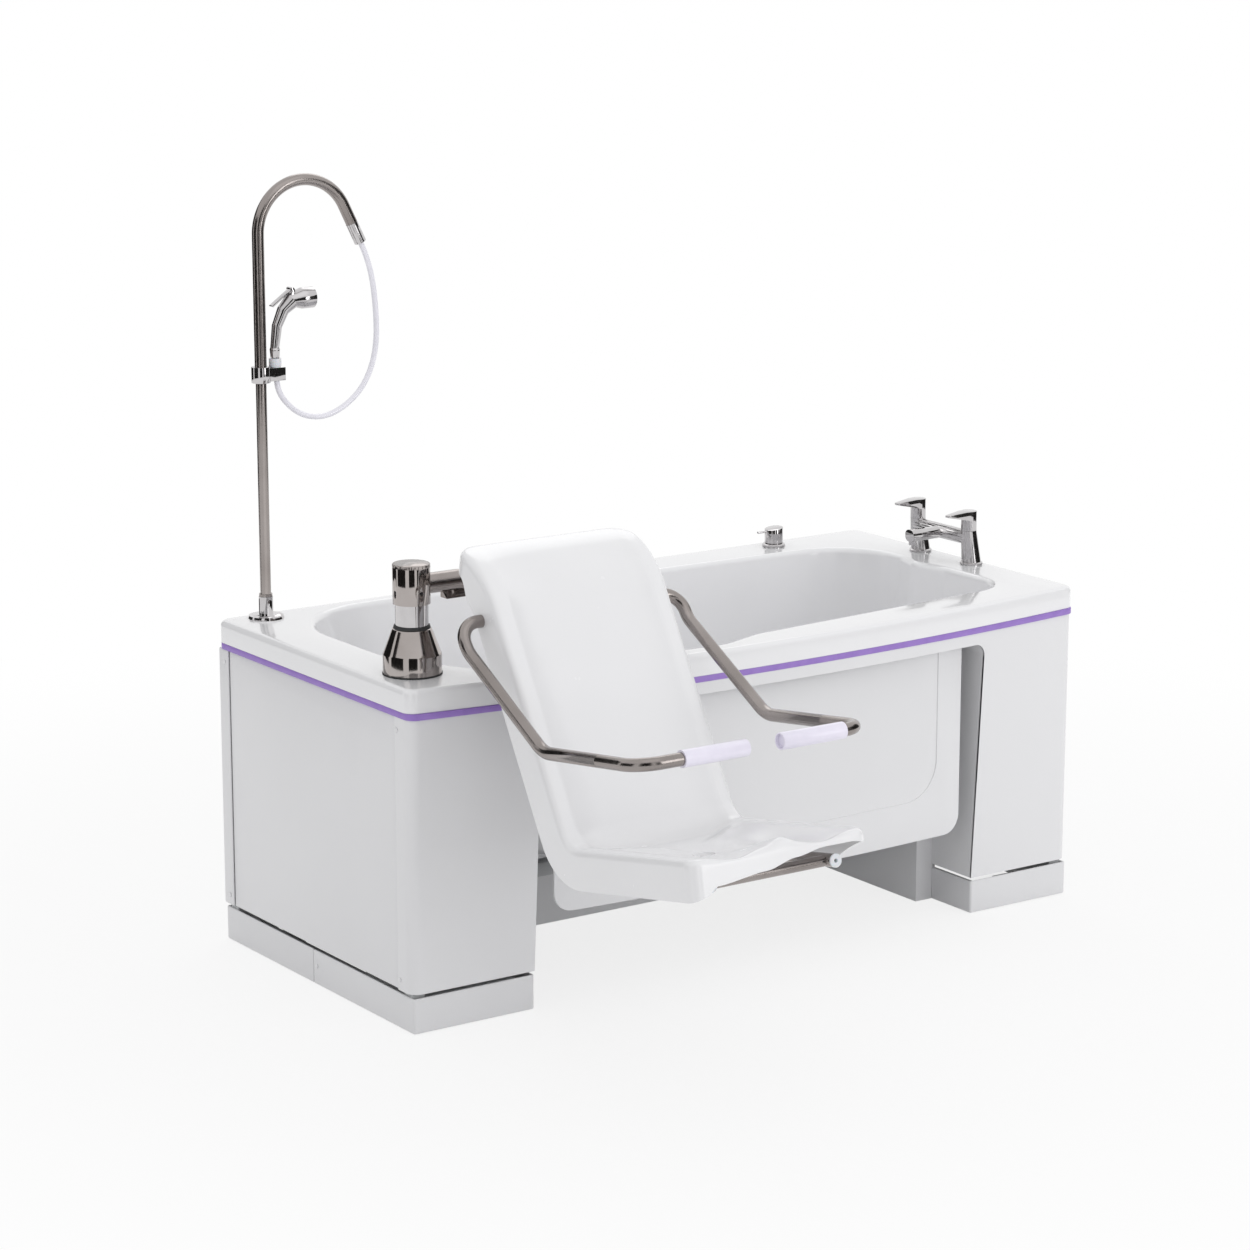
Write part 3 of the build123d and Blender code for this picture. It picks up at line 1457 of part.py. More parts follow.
# Deck backnuts: ring nuts under the deck on the tap tails and the riser tail
with BuildPart() as deck_backnuts:
    for x, y, tail in (
        (tap_x, tap_ys[0], tap_tail_radius), (tap_x, tap_ys[1], tap_tail_radius),
        (riser_x, riser_y, riser_tail_radius),
    ):
        with BuildSketch(Plane.XY.offset(deck_underside)):
            with Locations((x, y)):
                RegularPolygon(tail + nut_height, 6)
                Circle(tail + running_gap, mode=Mode.SUBTRACT)
        extrude(amount=-nut_height)
deck_backnuts.part.label = "deck_backnuts"
export_step(deck_backnuts.part, "parts/deck_backnuts.step")

# Knob base: chromed ring on the deck, bored for the waste knob's stem
with BuildPart() as knob_base:
    add(turned(knob_x, knob_y, [
        (knob_stem_radius + running_gap, bath_height), (knob_base_radius, bath_height),
        (knob_base_radius, bath_height + knob_base_height - tap_foot_edge),
        (knob_base_radius - tap_foot_edge, bath_height + knob_base_height),
        (knob_stem_radius + running_gap, bath_height + knob_base_height),
    ]))
knob_base.part.label = "knob_base"
export_step(knob_base.part, "parts/knob_base.step")

# Waste knob: drum with a sloping top, a short handle pin and a stem
knob_foot = bath_height + knob_base_height + face_gap
with BuildPart() as waste_knob:
    add(rod((knob_x, knob_y, knob_foot), (knob_x, knob_y, knob_top), knob_radius))
    with BuildSketch(Plane.XZ.offset(-knob_y)):
        with BuildLine():
            Polyline(
                (knob_x - knob_radius - hole_gap, knob_top - knob_slope),
                (knob_x + knob_radius + hole_gap, knob_top),
                (knob_x + knob_radius + hole_gap, knob_top + hole_gap),
                (knob_x - knob_radius - hole_gap, knob_top + hole_gap), close=True,
            )
        make_face()
    extrude(amount=2 * knob_radius, both=True, mode=Mode.SUBTRACT)
    add(rod((knob_x - pin_length, knob_y, knob_top - pin_drop),
            (knob_x, knob_y, knob_top - pin_drop), pin_radius))
    add(rod((knob_x, knob_y, bath_height - knob_stem_length), (knob_x, knob_y, knob_foot),
            knob_stem_radius))
waste_knob.part.label = "waste_knob"
export_step(waste_knob.part, "parts/waste_knob.step")

# Waste flange: dished ring in the basin floor with a spoked guide below
with BuildPart() as waste_flange:
    add(turned(waste_x, waste_y, [
        (waste_bore, waste_foot), (waste_body_radius, waste_foot),
        (waste_body_radius, basin_floor), (waste_flange_radius, basin_floor),
        (waste_flange_radius - tap_foot_edge, basin_floor + waste_flange_wall),
        (waste_seat, basin_floor + waste_flange_wall),
        (waste_bore, basin_floor - (waste_seat - waste_bore)),
    ]))
    with Locations((waste_x, waste_y, waste_foot)):
        for angle in (0, 90):
            with Locations(Rotation(0, 0, angle)):
                Box(
                    2 * waste_bore + hole_gap, guide_spoke, guide_height,
                    align=(Align.CENTER, Align.CENTER, Align.MIN),
                )
        Cylinder(
            plug_stem + guide_wall, guide_height, align=(Align.CENTER, Align.CENTER, Align.MIN)
        )
        Cylinder(
            plug_stem + running_gap, 3 * guide_height, mode=Mode.SUBTRACT,
        )
waste_flange.part.label = "waste_flange"
export_step(waste_flange.part, "parts/waste_flange.step")

# Waste plug: conical plug on a guided stem
plug_top = basin_floor + waste_flange_wall
plug_underside = basin_floor - (waste_seat - waste_bore) + hole_gap
with BuildPart() as waste_plug:
    add(turned(waste_x, waste_y, [
        (0, waste_foot - guide_height), (plug_stem, waste_foot - guide_height),
        (plug_stem, plug_underside), (waste_bore - face_gap, plug_underside),
        (waste_seat - hole_gap - face_gap, plug_top), (0, plug_top + plug_crown),
    ]))
waste_plug.part.label = "waste_plug"
export_step(waste_plug.part, "parts/waste_plug.step")

# Waste trap: bottle trap screwed to the waste, with a side outlet to the drain
with BuildPart() as waste_trap:
    add(turned(waste_x, waste_y, [
        (0, trap_foot), (waste_body_radius, trap_foot), (waste_body_radius, waste_foot),
        (waste_bore, waste_foot), (waste_bore, trap_foot + shell_wall), (0, trap_foot + shell_wall),
    ]))
    add(rod((waste_x + waste_bore + hole_gap, waste_y, trap_outlet_z),
            (outlet_end, waste_y, trap_outlet_z), waste_outlet_radius))
    add(rod((waste_x, waste_y, trap_outlet_z), (outlet_end, waste_y, trap_outlet_z),
            outlet_bore), mode=Mode.SUBTRACT)
waste_trap.part.label = "waste_trap"
export_step(waste_trap.part, "parts/waste_trap.step")

# Fastener caps: white screw caps on the corner covers and the kick plates
cap_heights = (panel_bottom + lower_cap_rise, strip_bottom - upper_cap_drop)
kick_cap_height = kick_height - kick_cap_drop
with BuildPart() as panel_screws:
    for side in (-1, 1):
        for y in (seam_front - cap_inset, seam_rear + 2 * cap_inset):
            for z in cap_heights:
                add(rod((side * (cover_x + cap_thickness), y, z), (side * cover_x, y, z), cap_radius))
        add(rod(
            (side * (kick_x + cap_thickness), kick_seam - 2 * cap_inset, kick_cap_height),
            (side * kick_x, kick_seam - 2 * cap_inset, kick_cap_height), cap_radius,
        ))
panel_screws.part.label = "panel_screws"
export_step(panel_screws.part, "parts/panel_screws.step")
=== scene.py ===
import json
import math

import bmesh
import bpy
from mathutils import Matrix, Vector


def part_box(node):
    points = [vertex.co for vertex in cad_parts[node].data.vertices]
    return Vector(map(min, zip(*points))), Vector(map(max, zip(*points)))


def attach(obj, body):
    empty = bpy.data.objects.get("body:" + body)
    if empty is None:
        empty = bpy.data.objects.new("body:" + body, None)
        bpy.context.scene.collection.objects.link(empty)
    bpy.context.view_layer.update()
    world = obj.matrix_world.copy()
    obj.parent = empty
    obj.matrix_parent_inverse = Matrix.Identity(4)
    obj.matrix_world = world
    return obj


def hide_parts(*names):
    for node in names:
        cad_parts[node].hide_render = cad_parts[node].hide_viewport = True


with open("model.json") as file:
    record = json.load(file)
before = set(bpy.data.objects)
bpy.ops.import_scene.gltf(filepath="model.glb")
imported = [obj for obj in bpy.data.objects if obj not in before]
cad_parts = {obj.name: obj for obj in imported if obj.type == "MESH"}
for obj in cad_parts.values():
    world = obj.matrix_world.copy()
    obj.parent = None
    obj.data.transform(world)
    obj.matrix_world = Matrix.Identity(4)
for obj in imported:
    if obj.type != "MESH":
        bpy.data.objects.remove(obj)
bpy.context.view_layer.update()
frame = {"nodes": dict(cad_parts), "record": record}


# Camera
# A long lens stands off the front left corner of the bath and looks slightly down,
# as in the photograph. Nothing is out of focus.
camera_place = (-4.407, -6.2885, 2.398)
camera_turn = math.radians(34.55)
camera_drop = math.radians(12.83)
bpy.ops.object.camera_add(
    location=camera_place, rotation=(math.pi / 2 - camera_drop, 0, -camera_turn)
)
camera = bpy.context.object
camera.data.lens = 105.92
camera.data.sensor_width = 36
camera.data.clip_end = 60
bpy.context.scene.camera = camera
bpy.context.scene.view_settings.view_transform = "Standard"


# Shower hose
# Smooth clear-lavender PVC hose, pushed on the fitting of the arch. It hangs in one
# loop and comes up through the holder into the handset nut.
class Value:
    """A socket of a material. Arithmetic on it adds Math nodes."""

    def __init__(self, tree, socket=None):
        self.tree = tree
        self.socket = socket

    def node(self, kind, settings, inputs, output=0):
        """Adds a node: its settings, then the numbers or links of its sockets."""
        node = self.tree.nodes.new("ShaderNode" + kind)
        for name, setting in settings.items():
            if name == "stops":
                ramp = node.color_ramp.elements
                while len(ramp) < len(setting):
                    ramp.new(0.5)
                for stop, (place, colour) in zip(ramp, setting):
                    stop.position = place
                    stop.color = (*colour, 1)
            else:
                setattr(node, name, setting)
        for name, given in inputs.items():
            if isinstance(given, Value):
                self.tree.links.new(given.socket, node.inputs[name])
            else:
                node.inputs[name].default_value = given
        return Value(self.tree, node.outputs[output])

    def maths(self, operation, first, second):
        return self.node("Math", {"operation": operation}, {0: first, 1: second})

    def __add__(self, other):
        return self.maths("ADD", self, other)

    __radd__ = __add__

    def __mul__(self, other):
        return self.maths("MULTIPLY", self, other)

    __rmul__ = __mul__


def finish(name, **surface):
    """A new material. Returns it, its coordinates in metres and a call that links sockets."""
    material = bpy.data.materials.new(name)
    material.use_nodes = True
    tree = material.node_tree
    shader = tree.nodes["Principled BSDF"]
    for socket, number in surface.items():
        shader.inputs[socket.replace("_", " ")].default_value = number

    def join(**links):
        for socket, value in links.items():
            tree.links.new(value.socket, shader.inputs[socket.replace("_", " ")])

    place = Value(tree).node("TexCoord", {}, {}, "Object")
    return material, place, join


def noise(place, scale, detail=3.0):
    """Cloudy noise, 0 to 1, with its grain given in cells per metre."""
    sockets = {"Vector": place, "Scale": scale, "Detail": detail, "Roughness": 0.5}
    return place.node("TexNoise", {}, sockets, "Fac")


def blend(mask, low, high):
    """Colour that goes from low to high with the mask."""
    return mask.node("ValToRGB", {"stops": [(0.0, low), (1.0, high)]}, {"Fac": mask}, "Color")


def relief(height, distance, strength):
    """Bump of a real depth in metres."""
    return height.node(
        "Bump", {}, {"Height": height, "Distance": distance, "Strength": strength}, "Normal"
    )


hose_route = [
    (-0.51546, 1.47342), (-0.4947, 1.4313), (-0.480, 1.345), (-0.479, 1.240), (-0.515, 1.160),
    (-0.590, 1.112), (-0.660, 1.116), (-0.712, 1.160), (-0.724, 1.205), (-0.724, 1.247),
]
hose_plane = 0.338
hose_radius = 0.006
hose_curve = bpy.data.curves.new("shower_hose_line", "CURVE")
hose_curve.dimensions = "3D"
hose_curve.bevel_depth = hose_radius
hose_curve.bevel_resolution = 6
hose_curve.resolution_u = 16
hose_curve.use_fill_caps = True
hose_line = hose_curve.splines.new("NURBS")
hose_line.points.add(len(hose_route) - 1)
for point, (x, z) in zip(hose_line.points, hose_route):
    point.co = (x, hose_plane, z, 1)
hose_line.order_u = 3
hose_line.use_endpoint_u = True
hose = bpy.data.objects.new("clear_shower_hose", hose_curve)
bpy.context.scene.collection.objects.link(hose)

clear_hose, place, join = finish(
    "clear_hose", Roughness=0.18, Coat_Weight=0.4, Coat_Roughness=0.08,
)
haze = noise(place, 60)
join(
    Base_Color=blend(haze, (0.79, 0.78, 0.85), (0.88, 0.87, 0.93)),
    Normal=relief(noise(place, 400), 0.0002, 0.4),
)
hose.data.materials.append(clear_hose)
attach(hose, "riser_head")
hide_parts("shower_hose")


# White panel finish
# Satin white sprayed sheet of the covers, apron, liner and end panels, with a fine orange
# peel. The moulded front has the same finish.
def pick(piece):
    """Selects one piece and nothing else."""
    bpy.ops.object.select_all(action="DESELECT")
    bpy.context.view_layer.objects.active = piece
    piece.select_set(True)


def work(piece, kind, **settings):
    """Gives the piece one modifier and applies it."""
    modifier = piece.modifiers.new("work", kind)
    for setting, value in settings.items():
        setattr(modifier, setting, value)
    pick(piece)
    bpy.ops.object.modifier_apply(modifier=modifier.name)


def smooth(piece, angle):
    """Smooth shading across soft edges only."""
    pick(piece)
    bpy.ops.object.shade_smooth_by_angle(angle=math.radians(angle))


def fit(piece, body, replaced, material):
    """Finishes a piece: its material, the body it rides on and the nodes it stands for."""
    piece.data.materials.clear()
    piece.data.materials.append(material)
    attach(piece, body)
    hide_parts(*replaced)


riders = {
    node: body for body, held in frame["record"]["behaviour"]["bodies"].items() for node in held
}


def dress(names, material, edge=0.0, segments=2, dissolve=0.4):
    """Finished copies of CAD nodes: whole faces, softened edges and their finish."""
    for name in names:
        piece = bpy.data.objects.new(name + "_finished", frame["nodes"][name].data.copy())
        bpy.context.scene.collection.objects.link(piece)
        pick(piece)
        bpy.ops.object.mode_set(mode="EDIT")
        bpy.ops.mesh.select_all(action="SELECT")
        bpy.ops.mesh.remove_doubles(threshold=0.00001)
        if dissolve:
            bpy.ops.mesh.dissolve_limited(angle_limit=math.radians(dissolve))
        bpy.ops.object.mode_set(mode="OBJECT")
        if edge:
            work(piece, "BEVEL", width=edge, segments=segments, angle_limit=math.radians(50),
                 limit_method="ANGLE", use_clamp_overlap=True)
        smooth(piece, 35)
        fit(piece, riders[name], [name], material)


white_panel, place, join = finish("white_panel_paint", Roughness=0.32, Coat_Weight=0.15)
cloud = noise(place, 2.2, 2.0)
join(
    Base_Color=blend(cloud, (0.735, 0.735, 0.75), (0.775, 0.775, 0.79)),
    Roughness=0.27 + 0.1 * noise(place, 20.0),
    Normal=relief(noise(place, 900.0, 2.0), 0.00005, 0.3),
)
dress(
    ["front_apron", "left_end_panel", "right_end_panel", "rear_corner_covers",
     "back_panel"], white_panel, 0.0025, 3,
)
dress(["alcove_liner"], white_panel, dissolve=0)
dress(["panel_screws"], white_panel, 0.0006)


# Kick plates
# The same sheet folded round the foot of the pedestals, a little duller from mopping.
white_kick, place, join = finish("white_kick_paint", Roughness=0.4)
cloud = noise(place, 5.0, 3.0)
join(
    Base_Color=blend(cloud, (0.70, 0.70, 0.715), (0.755, 0.755, 0.77)),
    Roughness=0.34 + 0.14 * noise(place, 16.0),
    Normal=relief(noise(place, 900.0, 2.0), 0.00005, 0.3),
)
dress(["left_front_kick", "right_front_kick", "rear_kicks"], white_kick, 0.004, 3)

# Rim strip
# Purple plastic strip pressed in the groove under the rim skirt.
strip_finish, place, join = finish("purple_strip", Roughness=0.42)
streak = noise(place, 40.0, 2.0)
join(
    Base_Color=blend(streak, (0.27, 0.155, 0.52), (0.36, 0.225, 0.62)),
    Roughness=0.36 + 0.14 * noise(place, 90.0),
)
dress(["rim_strip"], strip_finish, 0.001)

# Stainless tubes
# Polished stainless tube of the armrests, riser, support arm and seat frame, clouded by wear and
# with a fine grain. Its colour is painted much darker than bare steel, a painted reflection of dark
# surroundings. The collar cap and the waste's flange and plug match it.
stainless, place, join = finish("stainless", Metallic=1.0, Roughness=0.2)
brown = noise(place, 7.0, 4.0)
# Both colours are painted dark: painted reflection of dark surroundings, with random clouding
# between them.
join(
    Base_Color=blend(brown, (0.20, 0.175, 0.165), (0.42, 0.385, 0.37)),
    Roughness=0.13 + 0.16 * noise(place, 70.0, 3.0),
    Normal=relief(noise(place, 1400.0, 2.0), 0.00002, 0.3),
)
dress(
    ["left_arm_tube", "right_arm_tube", "left_grip_tube", "right_grip_tube", "support_arm",
     "arm_gusset", "seat_frame", "riser_lower_tube", "riser_upper_tube",
     "collar_cap", "waste_flange", "waste_plug"], stainless,
)

# Chrome
# Bright plated brass and steel: lift tube, mixer, handset and small fittings.
chrome, place, join = finish("chrome", Metallic=1.0, Roughness=0.06)
bloom = noise(place, 18.0, 3.0)
join(
    Base_Color=blend(bloom, (0.46, 0.445, 0.45), (0.66, 0.645, 0.65)),
    Roughness=0.035 + 0.07 * noise(place, 45.0, 3.0),
)
dress(
    ["lift_tube", "riser_flange", "hose_fitting", "mixer_body", "tap_base_discs",
     "knob_base"], chrome,
)
dress(["riser_clamp", "waste_knob"], chrome, 0.001)
dress(["handset_body", "handset_trigger"], chrome, 0.001)
dress(["mixer_spout", "hot_lever", "cold_lever"], chrome, 0.002, 3)

# Steel frame
# Welded square tube with its feet, plates and column tube, powder coated light grey, with
# its grain and a few dull patches.
frame_paint, place, join = finish("frame_powder_coat", Roughness=0.5)
patch = noise(place, 12.0, 4.0)
join(
    Base_Color=blend(patch, (0.44, 0.45, 0.46), (0.56, 0.57, 0.58)),
    Roughness=0.42 + 0.2 * noise(place, 30.0),
    Normal=relief(noise(place, 1500.0, 2.0), 0.00008, 0.5),
)
dress(["left_end_frame", "right_end_frame", "tub_rails", "levelling_feet", "floor_plates",
       "column_tube"], frame_paint, 0.0015)

# White plastic
# Moulded polyethylene: hose holder, tube plugs, guide bush, trap and backnuts.
white_plastic, place, join = finish("white_plastic", Roughness=0.38, Subsurface_Weight=0.1)
mottle = noise(place, 80.0, 2.0)
join(
    Base_Color=blend(mottle, (0.70, 0.70, 0.74), (0.78, 0.78, 0.82)),
    Roughness=0.32 + 0.16 * noise(place, 120.0),
)
dress(
    ["hose_holder", "frame_caps", "waste_trap", "deck_backnuts", "guide_bush"],
    white_plastic, 0.0008,
)

# Black rubber
# Gasket under the bell and wiper seal on top of it. The collar screws and the actuator
# have the same dull black.
black_rubber, place, join = finish("black_rubber", Roughness=0.62)
dust = noise(place, 200.0, 3.0)
join(
    Base_Color=blend(dust, (0.018, 0.018, 0.02), (0.05, 0.05, 0.052)),
    Roughness=0.55 + 0.2 * noise(place, 260.0),
)
dress(["column_gasket", "column_seal", "collar_screws", "lift_actuator"], black_rubber)

# Grip sleeves
# Soft lilac-white vinyl sleeves pushed over the ends of the grip tubes. Each is closed at
# one end and has an open mouth at the other.
def lay_rings(name, rings, closed=True, low_cap=False, high_cap=False):
    """A mesh of quads through rings of equally many points, like layers in a mould."""
    mesh = bpy.data.meshes.new(name)
    bm = bmesh.new()
    layers = [[bm.verts.new(spot) for spot in ring] for ring in rings]
    count = len(layers[0])
    last = count if closed else count - 1
    for low, high in zip(layers, layers[1:]):
        for i in range(last):
            after = (i + 1) % count
            bm.faces.new((low[i], low[after], high[after], high[i]))
    if low_cap:
        bm.faces.new(layers[0][::-1])
    if high_cap:
        bm.faces.new(layers[-1])
    bmesh.ops.recalc_face_normals(bm, faces=bm.faces)
    bm.to_mesh(mesh)
    bm.free()
    piece = bpy.data.objects.new(name, mesh)
    bpy.context.scene.collection.objects.link(piece)
    return piece


def close_up(piece, merge=0.0, fill=False):
    """Merges near points, fills the open edges if asked and turns the faces outwards."""
    pick(piece)
    bpy.ops.object.mode_set(mode="EDIT")
    bpy.ops.mesh.select_all(action="SELECT")
    if merge:
        bpy.ops.mesh.remove_doubles(threshold=merge)
    if fill:
        bpy.ops.mesh.fill_holes(sides=0)
        bpy.ops.mesh.select_all(action="SELECT")
    bpy.ops.mesh.normals_make_consistent(inside=False)
    bpy.ops.object.mode_set(mode="OBJECT")


lilac_vinyl, place, join = finish(
    "lilac_vinyl", Roughness=0.3, Coat_Weight=0.3, Coat_Roughness=0.1
)
haze = noise(place, 50.0, 2.0)
join(
    Base_Color=blend(haze, (0.76, 0.73, 0.85), (0.84, 0.81, 0.92)),
    Roughness=0.26 + 0.1 * noise(place, 150.0),
)
sleeve_wall = 0.0028
mouth_deep = 0.007
mouth_round = 0.0012
mouth_narrowing = 0.0008
sleeve_points = 48
for name, body, open_side in (
    ("left_grip_sleeve", "left_grip", 1), ("right_grip_sleeve", "right_grip", -1),
):
    low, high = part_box(name)
    middle_y, middle_z = (low.y + high.y) / 2, (low.z + high.z) / 2
    outer = (high.z - low.z) / 2
    bore = outer - sleeve_wall
    shut, mouth = (low.x, high.x) if open_side > 0 else (high.x, low.x)
    rings = []
    for radius, x in (
        (bore, shut), (outer, shut), (outer, mouth - open_side * mouth_round),
        (outer - mouth_narrowing, mouth), (bore, mouth), (bore, mouth - open_side * mouth_deep),
    ):
        turns = [2 * math.pi * i / sleeve_points for i in range(sleeve_points)]
        rings.append([
            (x, middle_y + radius * math.cos(turn), middle_z + radius * math.sin(turn))
            for turn in turns
        ])
    sleeve = lay_rings(name + "_open", rings, high_cap=True)
    close_up(sleeve, fill=True)
    smooth(sleeve, 40)
    fit(sleeve, body, [name], lilac_vinyl)


# Tub shell
# One glossy white moulding of deck, rolled basin lip, basin and rim skirt. It is laid up
# in one mould, so every corner is round and the wall is the same thickness throughout.
def join_pieces(main, *others):
    """Joins other meshes to the main one."""
    bpy.ops.object.select_all(action="DESELECT")
    for other in others:
        other.select_set(True)
    main.select_set(True)
    bpy.context.view_layer.objects.active = main
    bpy.ops.object.join()


white_shell, place, join = finish(
    "white_gelcoat", Roughness=0.16, Coat_Weight=0.5, Coat_Roughness=0.04, IOR=1.5,
)
cloud = noise(place, 3.0, 2.0)
join(
    Base_Color=blend(cloud, (0.80, 0.80, 0.815), (0.83, 0.83, 0.845)),
    Roughness=0.13 + 0.08 * noise(place, 14.0),
    Normal=relief(noise(place, 9.0, 1.0), 0.0008, 0.25),
)


def rounded_outline(corners, per_run=8, per_arc=10):
    """Points round a closed outline of (x, y, radius) corners, run by run and arc by arc."""
    points = []
    count = len(corners)
    for i, (x, y, radius) in enumerate(corners):
        here = Vector((x, y))
        before = (here - Vector(corners[i - 1][:2])).normalized()
        after = (Vector(corners[(i + 1) % count][:2]) - here).normalized()
        turn = before.cross(after)
        half = math.acos(max(-1.0, min(1.0, before.dot(after)))) / 2
        reach = radius * math.tan(half)
        start = here - before * reach
        side = Vector((-before.y, before.x)) * (1 if turn > 0 else -1)
        centre = start + side * radius
        for step in range(per_arc + 1):
            angle = 2 * half * step / per_arc
            spoke = -side * math.cos(angle) + before * math.sin(angle)
            points.append(centre + spoke * radius)
    full = []
    for i in range(count):
        arc = points[i * (per_arc + 1):(i + 1) * (per_arc + 1)]
        full += arc
        following = points[((i + 1) % count) * (per_arc + 1)]
        full += [arc[-1].lerp(following, step / per_run) for step in range(1, per_run)]
    return full


tub_low, tub_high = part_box("tub_shell")
rim_left, rim_right = tub_low.x, tub_high.x
rim_rear = tub_high.y
rim_front = -rim_rear
front_bow = rim_front - tub_low.y
deck = tub_high.z
rim_corner = 0.026
rim_edge = 0.012
skirt_foot = deck - 0.048
basin_deep = deck - 0.262
lip_radius = 0.014
tap_line = 0.012
basin_top = [
    (rim_left + 0.122, rim_rear - 0.0425, 0.22), (-0.11, rim_rear - 0.0425, 0.11),
    (0, rim_rear - 0.1115, 0.11), (rim_right - 0.114, rim_rear - 0.1375, 0.15),
    (rim_right - 0.114, tap_line + 0.07, 0.06), (rim_right - 0.134, tap_line, 0.06),
    (rim_right - 0.114, tap_line - 0.09, 0.06), (rim_right - 0.114, rim_front + 0.0955, 0.095),
    (0, rim_front + 0.0295, 0.15), (-0.11, rim_front - 0.0105, 0.11),
    (rim_left + 0.25, rim_front + 0.0215, 0.15), (rim_left + 0.122, rim_front + 0.2775, 0.2),
]
basin_foot = [
    (rim_left + 0.38, rim_rear - 0.1975, 0.12), (-0.11, rim_rear - 0.1895, 0.06),
    (0, rim_rear - 0.2115, 0.06), (rim_right - 0.21, rim_rear - 0.2175, 0.07),
    (rim_right - 0.21, tap_line + 0.063, 0.06), (rim_right - 0.22, tap_line, 0.06),
    (rim_right - 0.21, tap_line - 0.092, 0.06), (rim_right - 0.21, rim_front + 0.1825, 0.09),
    (0, rim_front + 0.1615, 0.06), (-0.11, rim_front + 0.1375, 0.06),
    (rim_left + 0.42, rim_front + 0.1525, 0.12), (rim_left + 0.36, rim_front + 0.3075, 0.08),
]


def grown(corners, amount):
    """The same outline with every run moved outwards."""
    result = []
    for i, (x, y, radius) in enumerate(corners):
        here = Vector((x, y))
        before = (here - Vector(corners[i - 1][:2])).normalized()
        after = (Vector(corners[(i + 1) % len(corners)][:2]) - here).normalized()
        out = Vector((-before.y - after.y, before.x + after.x)) * (amount / (1 + before.dot(after)))
        turn = before.cross(after)
        result.append((x + out.x, y + out.y, radius + (amount if turn < 0 else -amount)))
    return result


def basin_ring(depth, share, grow):
    """One level of the basin, between its outline at the deck and on the floor."""
    mixed = [
        tuple(a + (b - a) * share for a, b in zip(top, low))
        for top, low in zip(basin_top, basin_foot)
    ]
    return [(spot.x, spot.y, deck - depth) for spot in rounded_outline(grown(mixed, grow))]


def slope_share(depth):
    """How far the wall has come in at a depth, eased between the mould's levels."""
    levels = [(0.0, 0.0), (0.014, 0.0), (0.15, 0.18), (0.36, 0.62), (0.42, 0.86), (0.438, 1.0)]

    def straight(at):
        for (d0, s0), (d1, s1) in zip(levels, levels[1:]):
            if at <= d1:
                return s0 + (s1 - s0) * (at - d0) / (d1 - d0)
        return 1.0

    ease = min(0.05, depth - 0.014, basin_deep - depth)
    return sum(straight(depth + ease * k / 6) for k in range(-6, 7)) / 13


def rim_ring(inset, z):
    """Plan of the rim: straight ends and back, bowed front, rounded corners."""
    corner = rim_corner - inset
    left, right = rim_left + inset, rim_right - inset
    rear, near = rim_rear - inset, rim_front + inset
    points = []
    for x, y, start in (
        (right - corner, rear - corner, 0), (left + corner, rear - corner, 90),
        (left + corner, near + corner, 180), (right - corner, near + corner, 270),
    ):
        if start == 270:
            for step in range(1, 48):
                across = -1 + 2 * step / 48
                points.append((across * (right - corner), near - front_bow * (1 - across ** 2)))
        for step in range(9):
            angle = math.radians(start + 90 * step / 8)
            points.append((x + corner * math.cos(angle), y + corner * math.sin(angle)))
    return [(x, y, z) for x, y in points]


rim_rings = [rim_ring(0.001, skirt_foot), rim_ring(0, skirt_foot + 0.001)]
for step in range(7):
    angle = math.pi / 2 * step / 6
    rim_rings.append(rim_ring(
        rim_edge * (1 - math.cos(angle)), deck - rim_edge * (1 - math.sin(angle))
    ))
basin_rings = [basin_ring(0, 0, lip_radius)]
for step in range(1, 8):
    angle = math.pi / 2 * step / 7
    basin_rings.append(basin_ring(
        lip_radius * (1 - math.cos(angle)), 0, lip_radius * (1 - math.sin(angle))
    ))
wall_steps = 36
for step in range(1, wall_steps + 1):
    depth = lip_radius + (basin_deep - 0.012 - lip_radius) * step / wall_steps
    basin_rings.append(basin_ring(depth, slope_share(depth), 0))
basin_rings.append(basin_ring(basin_deep - 0.004, 1.0, -0.004))
basin_rings.append(basin_ring(basin_deep, 1.0, -0.014))
tub = lay_rings("moulded_tub", rim_rings)
basin = lay_rings("basin", basin_rings, high_cap=True)
join_pieces(tub, basin)
bpy.ops.object.mode_set(mode="EDIT")
bpy.ops.mesh.select_all(action="DESELECT")
bm = bmesh.from_edit_mesh(tub.data)
for edge in bm.edges:
    on_deck = all(abs(vert.co.z - deck) < 1e-5 for vert in edge.verts)
    edge.select_set(on_deck and edge.is_boundary)
bmesh.update_edit_mesh(tub.data)
bpy.ops.mesh.fill(use_beauty=True)
bpy.ops.mesh.select_all(action="SELECT")
bpy.ops.mesh.normals_make_consistent(inside=False)
bpy.ops.object.mode_set(mode="OBJECT")
if min(tub.data.polygons, key=lambda face: -face.area).normal.z < 0:
    tub.data.flip_normals()
work(tub, "SOLIDIFY", thickness=0.006, offset=-1)
smooth(tub, 40)
fit(tub, "bath", ["tub_shell"], white_shell)


# Front surround
# One moulding of both pedestal fronts and the band over the knee opening, with rounded
# outer corners. Its returns fold back round the opening.
def carve(piece, cutter):
    """Cuts the piece with another solid, which is then thrown away."""
    work(piece, "BOOLEAN", object=cutter, operation="DIFFERENCE", solver="EXACT")
    bpy.data.objects.remove(cutter)


surround_low, surround_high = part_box("front_surround")
side_x = surround_high.x
seam_y = -0.33
foot_y, foot_bow = 0.384, 0.002
head_y, head_bow = 0.3855, 0.06
corner_turn = 0.024
opening = (-0.562, 0.573)
opening_head = 0.613
opening_turn = 0.028
sheet = 0.005


